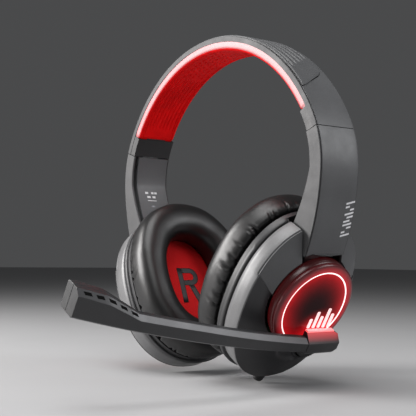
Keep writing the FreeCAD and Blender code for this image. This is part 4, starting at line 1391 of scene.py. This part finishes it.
def microphone_boom():
    """Bar, faceted head with sound slots, base block and their lit edge; the upward chamfers get lighter
    copies of the boom plastic as painted highlight.
    """
    def highlight_index(face):
        """0 off the chamfer, 1 on the bar's chamfer, 2 on the head's; 1 and 2 carry painted highlight."""
        if not 0.35 < face.normal.y < 0.95 or face.normal.z <= 0.3:
            return 0
        return 1 if face.center.x > -114 * MM else 2

    outer = cup_piece(1, "boom_outer", boom_half(True))
    paint_faces(outer, (BOOM, BOOM_CHAMFER_HIGHLIGHT, HEAD_CHAMFER_HIGHLIGHT), highlight_index)
    finish(outer, "mic_boom", "boom_plastic", None, ["boom_casing_outer"], 0.28, 22)
    inner = cup_piece(1, "boom_inner", boom_half(False))
    finish(inner, "mic_boom", "cover_plastic", BOOM, ["boom_casing_inner"], 0.28, 22)
    parts = []
    for index in range(5):
        slot = []
        for along, up in ((-2.1, 0.42), (1.5, 0.36), (2.1, 0.72), (-1.5, 0.78)):
            forward = 138.0 - 6.2 * index + along
            outer_z, _, shoulder, top, chamfer_in, _ = boom_corners(forward)
            slot.append(Vector((-forward, lerp(shoulder, top, up), outer_z - chamfer_in * up)))
        lift = Vector((0.0, 0.8, 0.6)) * 0.12
        parts.append(grid([[tuple(point + lift * sign) for point in slot] for sign in (-1, 1)]))
    # Thin black patches on the head's chamfer stand for the sound slots: painted shade in the openings.
    slots = cup_piece(1, "sound_slots", join_parts(parts))
    finish(slots, "mic_boom", "boom_plastic", PAINTED_SHADE_BLACK)
    base_block()


# (z, y) corners
BLOCK_PROFILE = ((32.4, -20.0), (32.4, -8.0), (35.0, -8.0), (39.5, -12.7), (39.5, -18.2), (38.0, -20.0))


def base_block():
    """Block that carries the bar on the collar, with a bevelled rear end and a lit strip above; the bevel
    faces that look up and back carry a painted red glow.
    """
    centre = Vector((36.0, -14.0))
    rows = [[(x, lerp(centre.y, y, shrink), lerp(centre.x, z, shrink)) for z, y in BLOCK_PROFILE]
            for x, shrink in ((-1.3, 1.0), (20.5, 1.0), (23.8, 0.78))]
    piece = cup_piece(1, "boom_block", grid(rows))
    # Faces that look up and back take the painted red glow.
    paint_faces(piece, (BOOM, BLOCK_EDGE_RED_GLOW), lambda face: face.normal.y > 0.4 and face.normal.z > 0.4)
    strip = ((-0.8, -7.0), (19.4, -7.0), (20.6, -8.05), (-0.8, -8.05))
    glow = cup_piece(1, "block_glow", grid([[(x, y, z) for x, y in strip] for z in (32.5, 34.7)]))
    finish(glow, "mic_boom", "light_pipe", RED_STRIP, angle=50)
    finish(piece, "mic_boom", "boom_plastic", None, ["boom_base_block"], 0.35, 25)


# ---------------- small parts
def cord_gland():
    """Rubber outlet under the left cup, ribbed round its body."""
    gland_x, gland_z, bore = 2.0, 11.5, 2.1
    profile = [(bore, 45.5), (3.5, 45.5), (3.5, 47.0), (3.0, 47.2), (3.0, 50.4), (3.7, 50.6), (3.7, 52.6),
               (3.1, 53.0), (3.0, 53.6), (3.25, 53.9), (3.25, 54.4), (2.9, 54.7), (2.8, 55.4), (bore, 55.5)]
    turns = [2 * math.pi * index / 40 for index in range(40)]
    rows = [[(gland_x + radius * math.cos(turn), -down, gland_z + radius * math.sin(turn)) for turn in turns]
            for radius, down in profile]
    piece = cup_piece(1, "cord_gland", grid(rows, round_rows=True, caps=False))
    finish(piece, "cup_left", "rubber_black", RUBBER, ["cable_gland"], angle=45)


NODE_LOOKS = (
    (INNER, ("slider_guide", "speaker_baffle", "driver_basket")),
    (STEEL, ("slider_blade", "driver_magnet", "spring_steel_band", "detent_springs", "microphone_capsule")),
    (SCREW, ("pivot_tongue", "hinge_pin", "arm_screws", "cup_screws", "headband_screws")),
    (FILM, ("driver_diaphragm",)),
    (BOARD, ("led_board", "main_board")),
    (RUBBER, ("volume_wheel",)),
)


def dress_nodes():
    """Materials for the CAD nodes that stay."""
    for name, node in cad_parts.items():
        for material, starts in NODE_LOOKS:
            if name.startswith(starts):
                node.data.materials.clear()
                node.data.materials.append(material)


FLOOR_GAP = 0.0008            # metres
FLOOR_HALF = 6.0


def studio_floor():
    """Pale floor just under the cups."""
    level = cad_box[0][2] - FLOOR_GAP
    size = FLOOR_HALF
    mesh = bpy.data.meshes.new("floor")
    mesh.from_pydata([(-size, -size, level), (size, -size, level), (size, size, level), (-size, size, level)],
                     [], [(0, 1, 2, 3)])
    floor = bpy.data.objects.new("floor", mesh)
    bpy.context.scene.collection.objects.link(floor)
    shader = Shader("floor_paint", (0.36, 0.36, 0.365), 0.7)
    shader.paint(shader.blend(shader.noise(60.0), (0.35, 0.35, 0.355), (0.37, 0.37, 0.375)))
    shader.relief(shader.noise(1.5), 0.03)
    mesh.materials.append(shader.material)


studio_floor()
headband_cover()
headband_sides()
rib_panel()
crown_pad()
for cup_side in (1, -1):
    arm_cover(cup_side)
    arm_sides(cup_side)
    arm_plate(cup_side)
    arm_print(cup_side)
    plate_print(cup_side)
    ear_cushion(cup_side)
    speaker_cloth(cup_side)
    side_letter(cup_side)
    housing(cup_side)
    lit_disc(cup_side)
microphone_boom()
cord_gland()
dress_nodes()
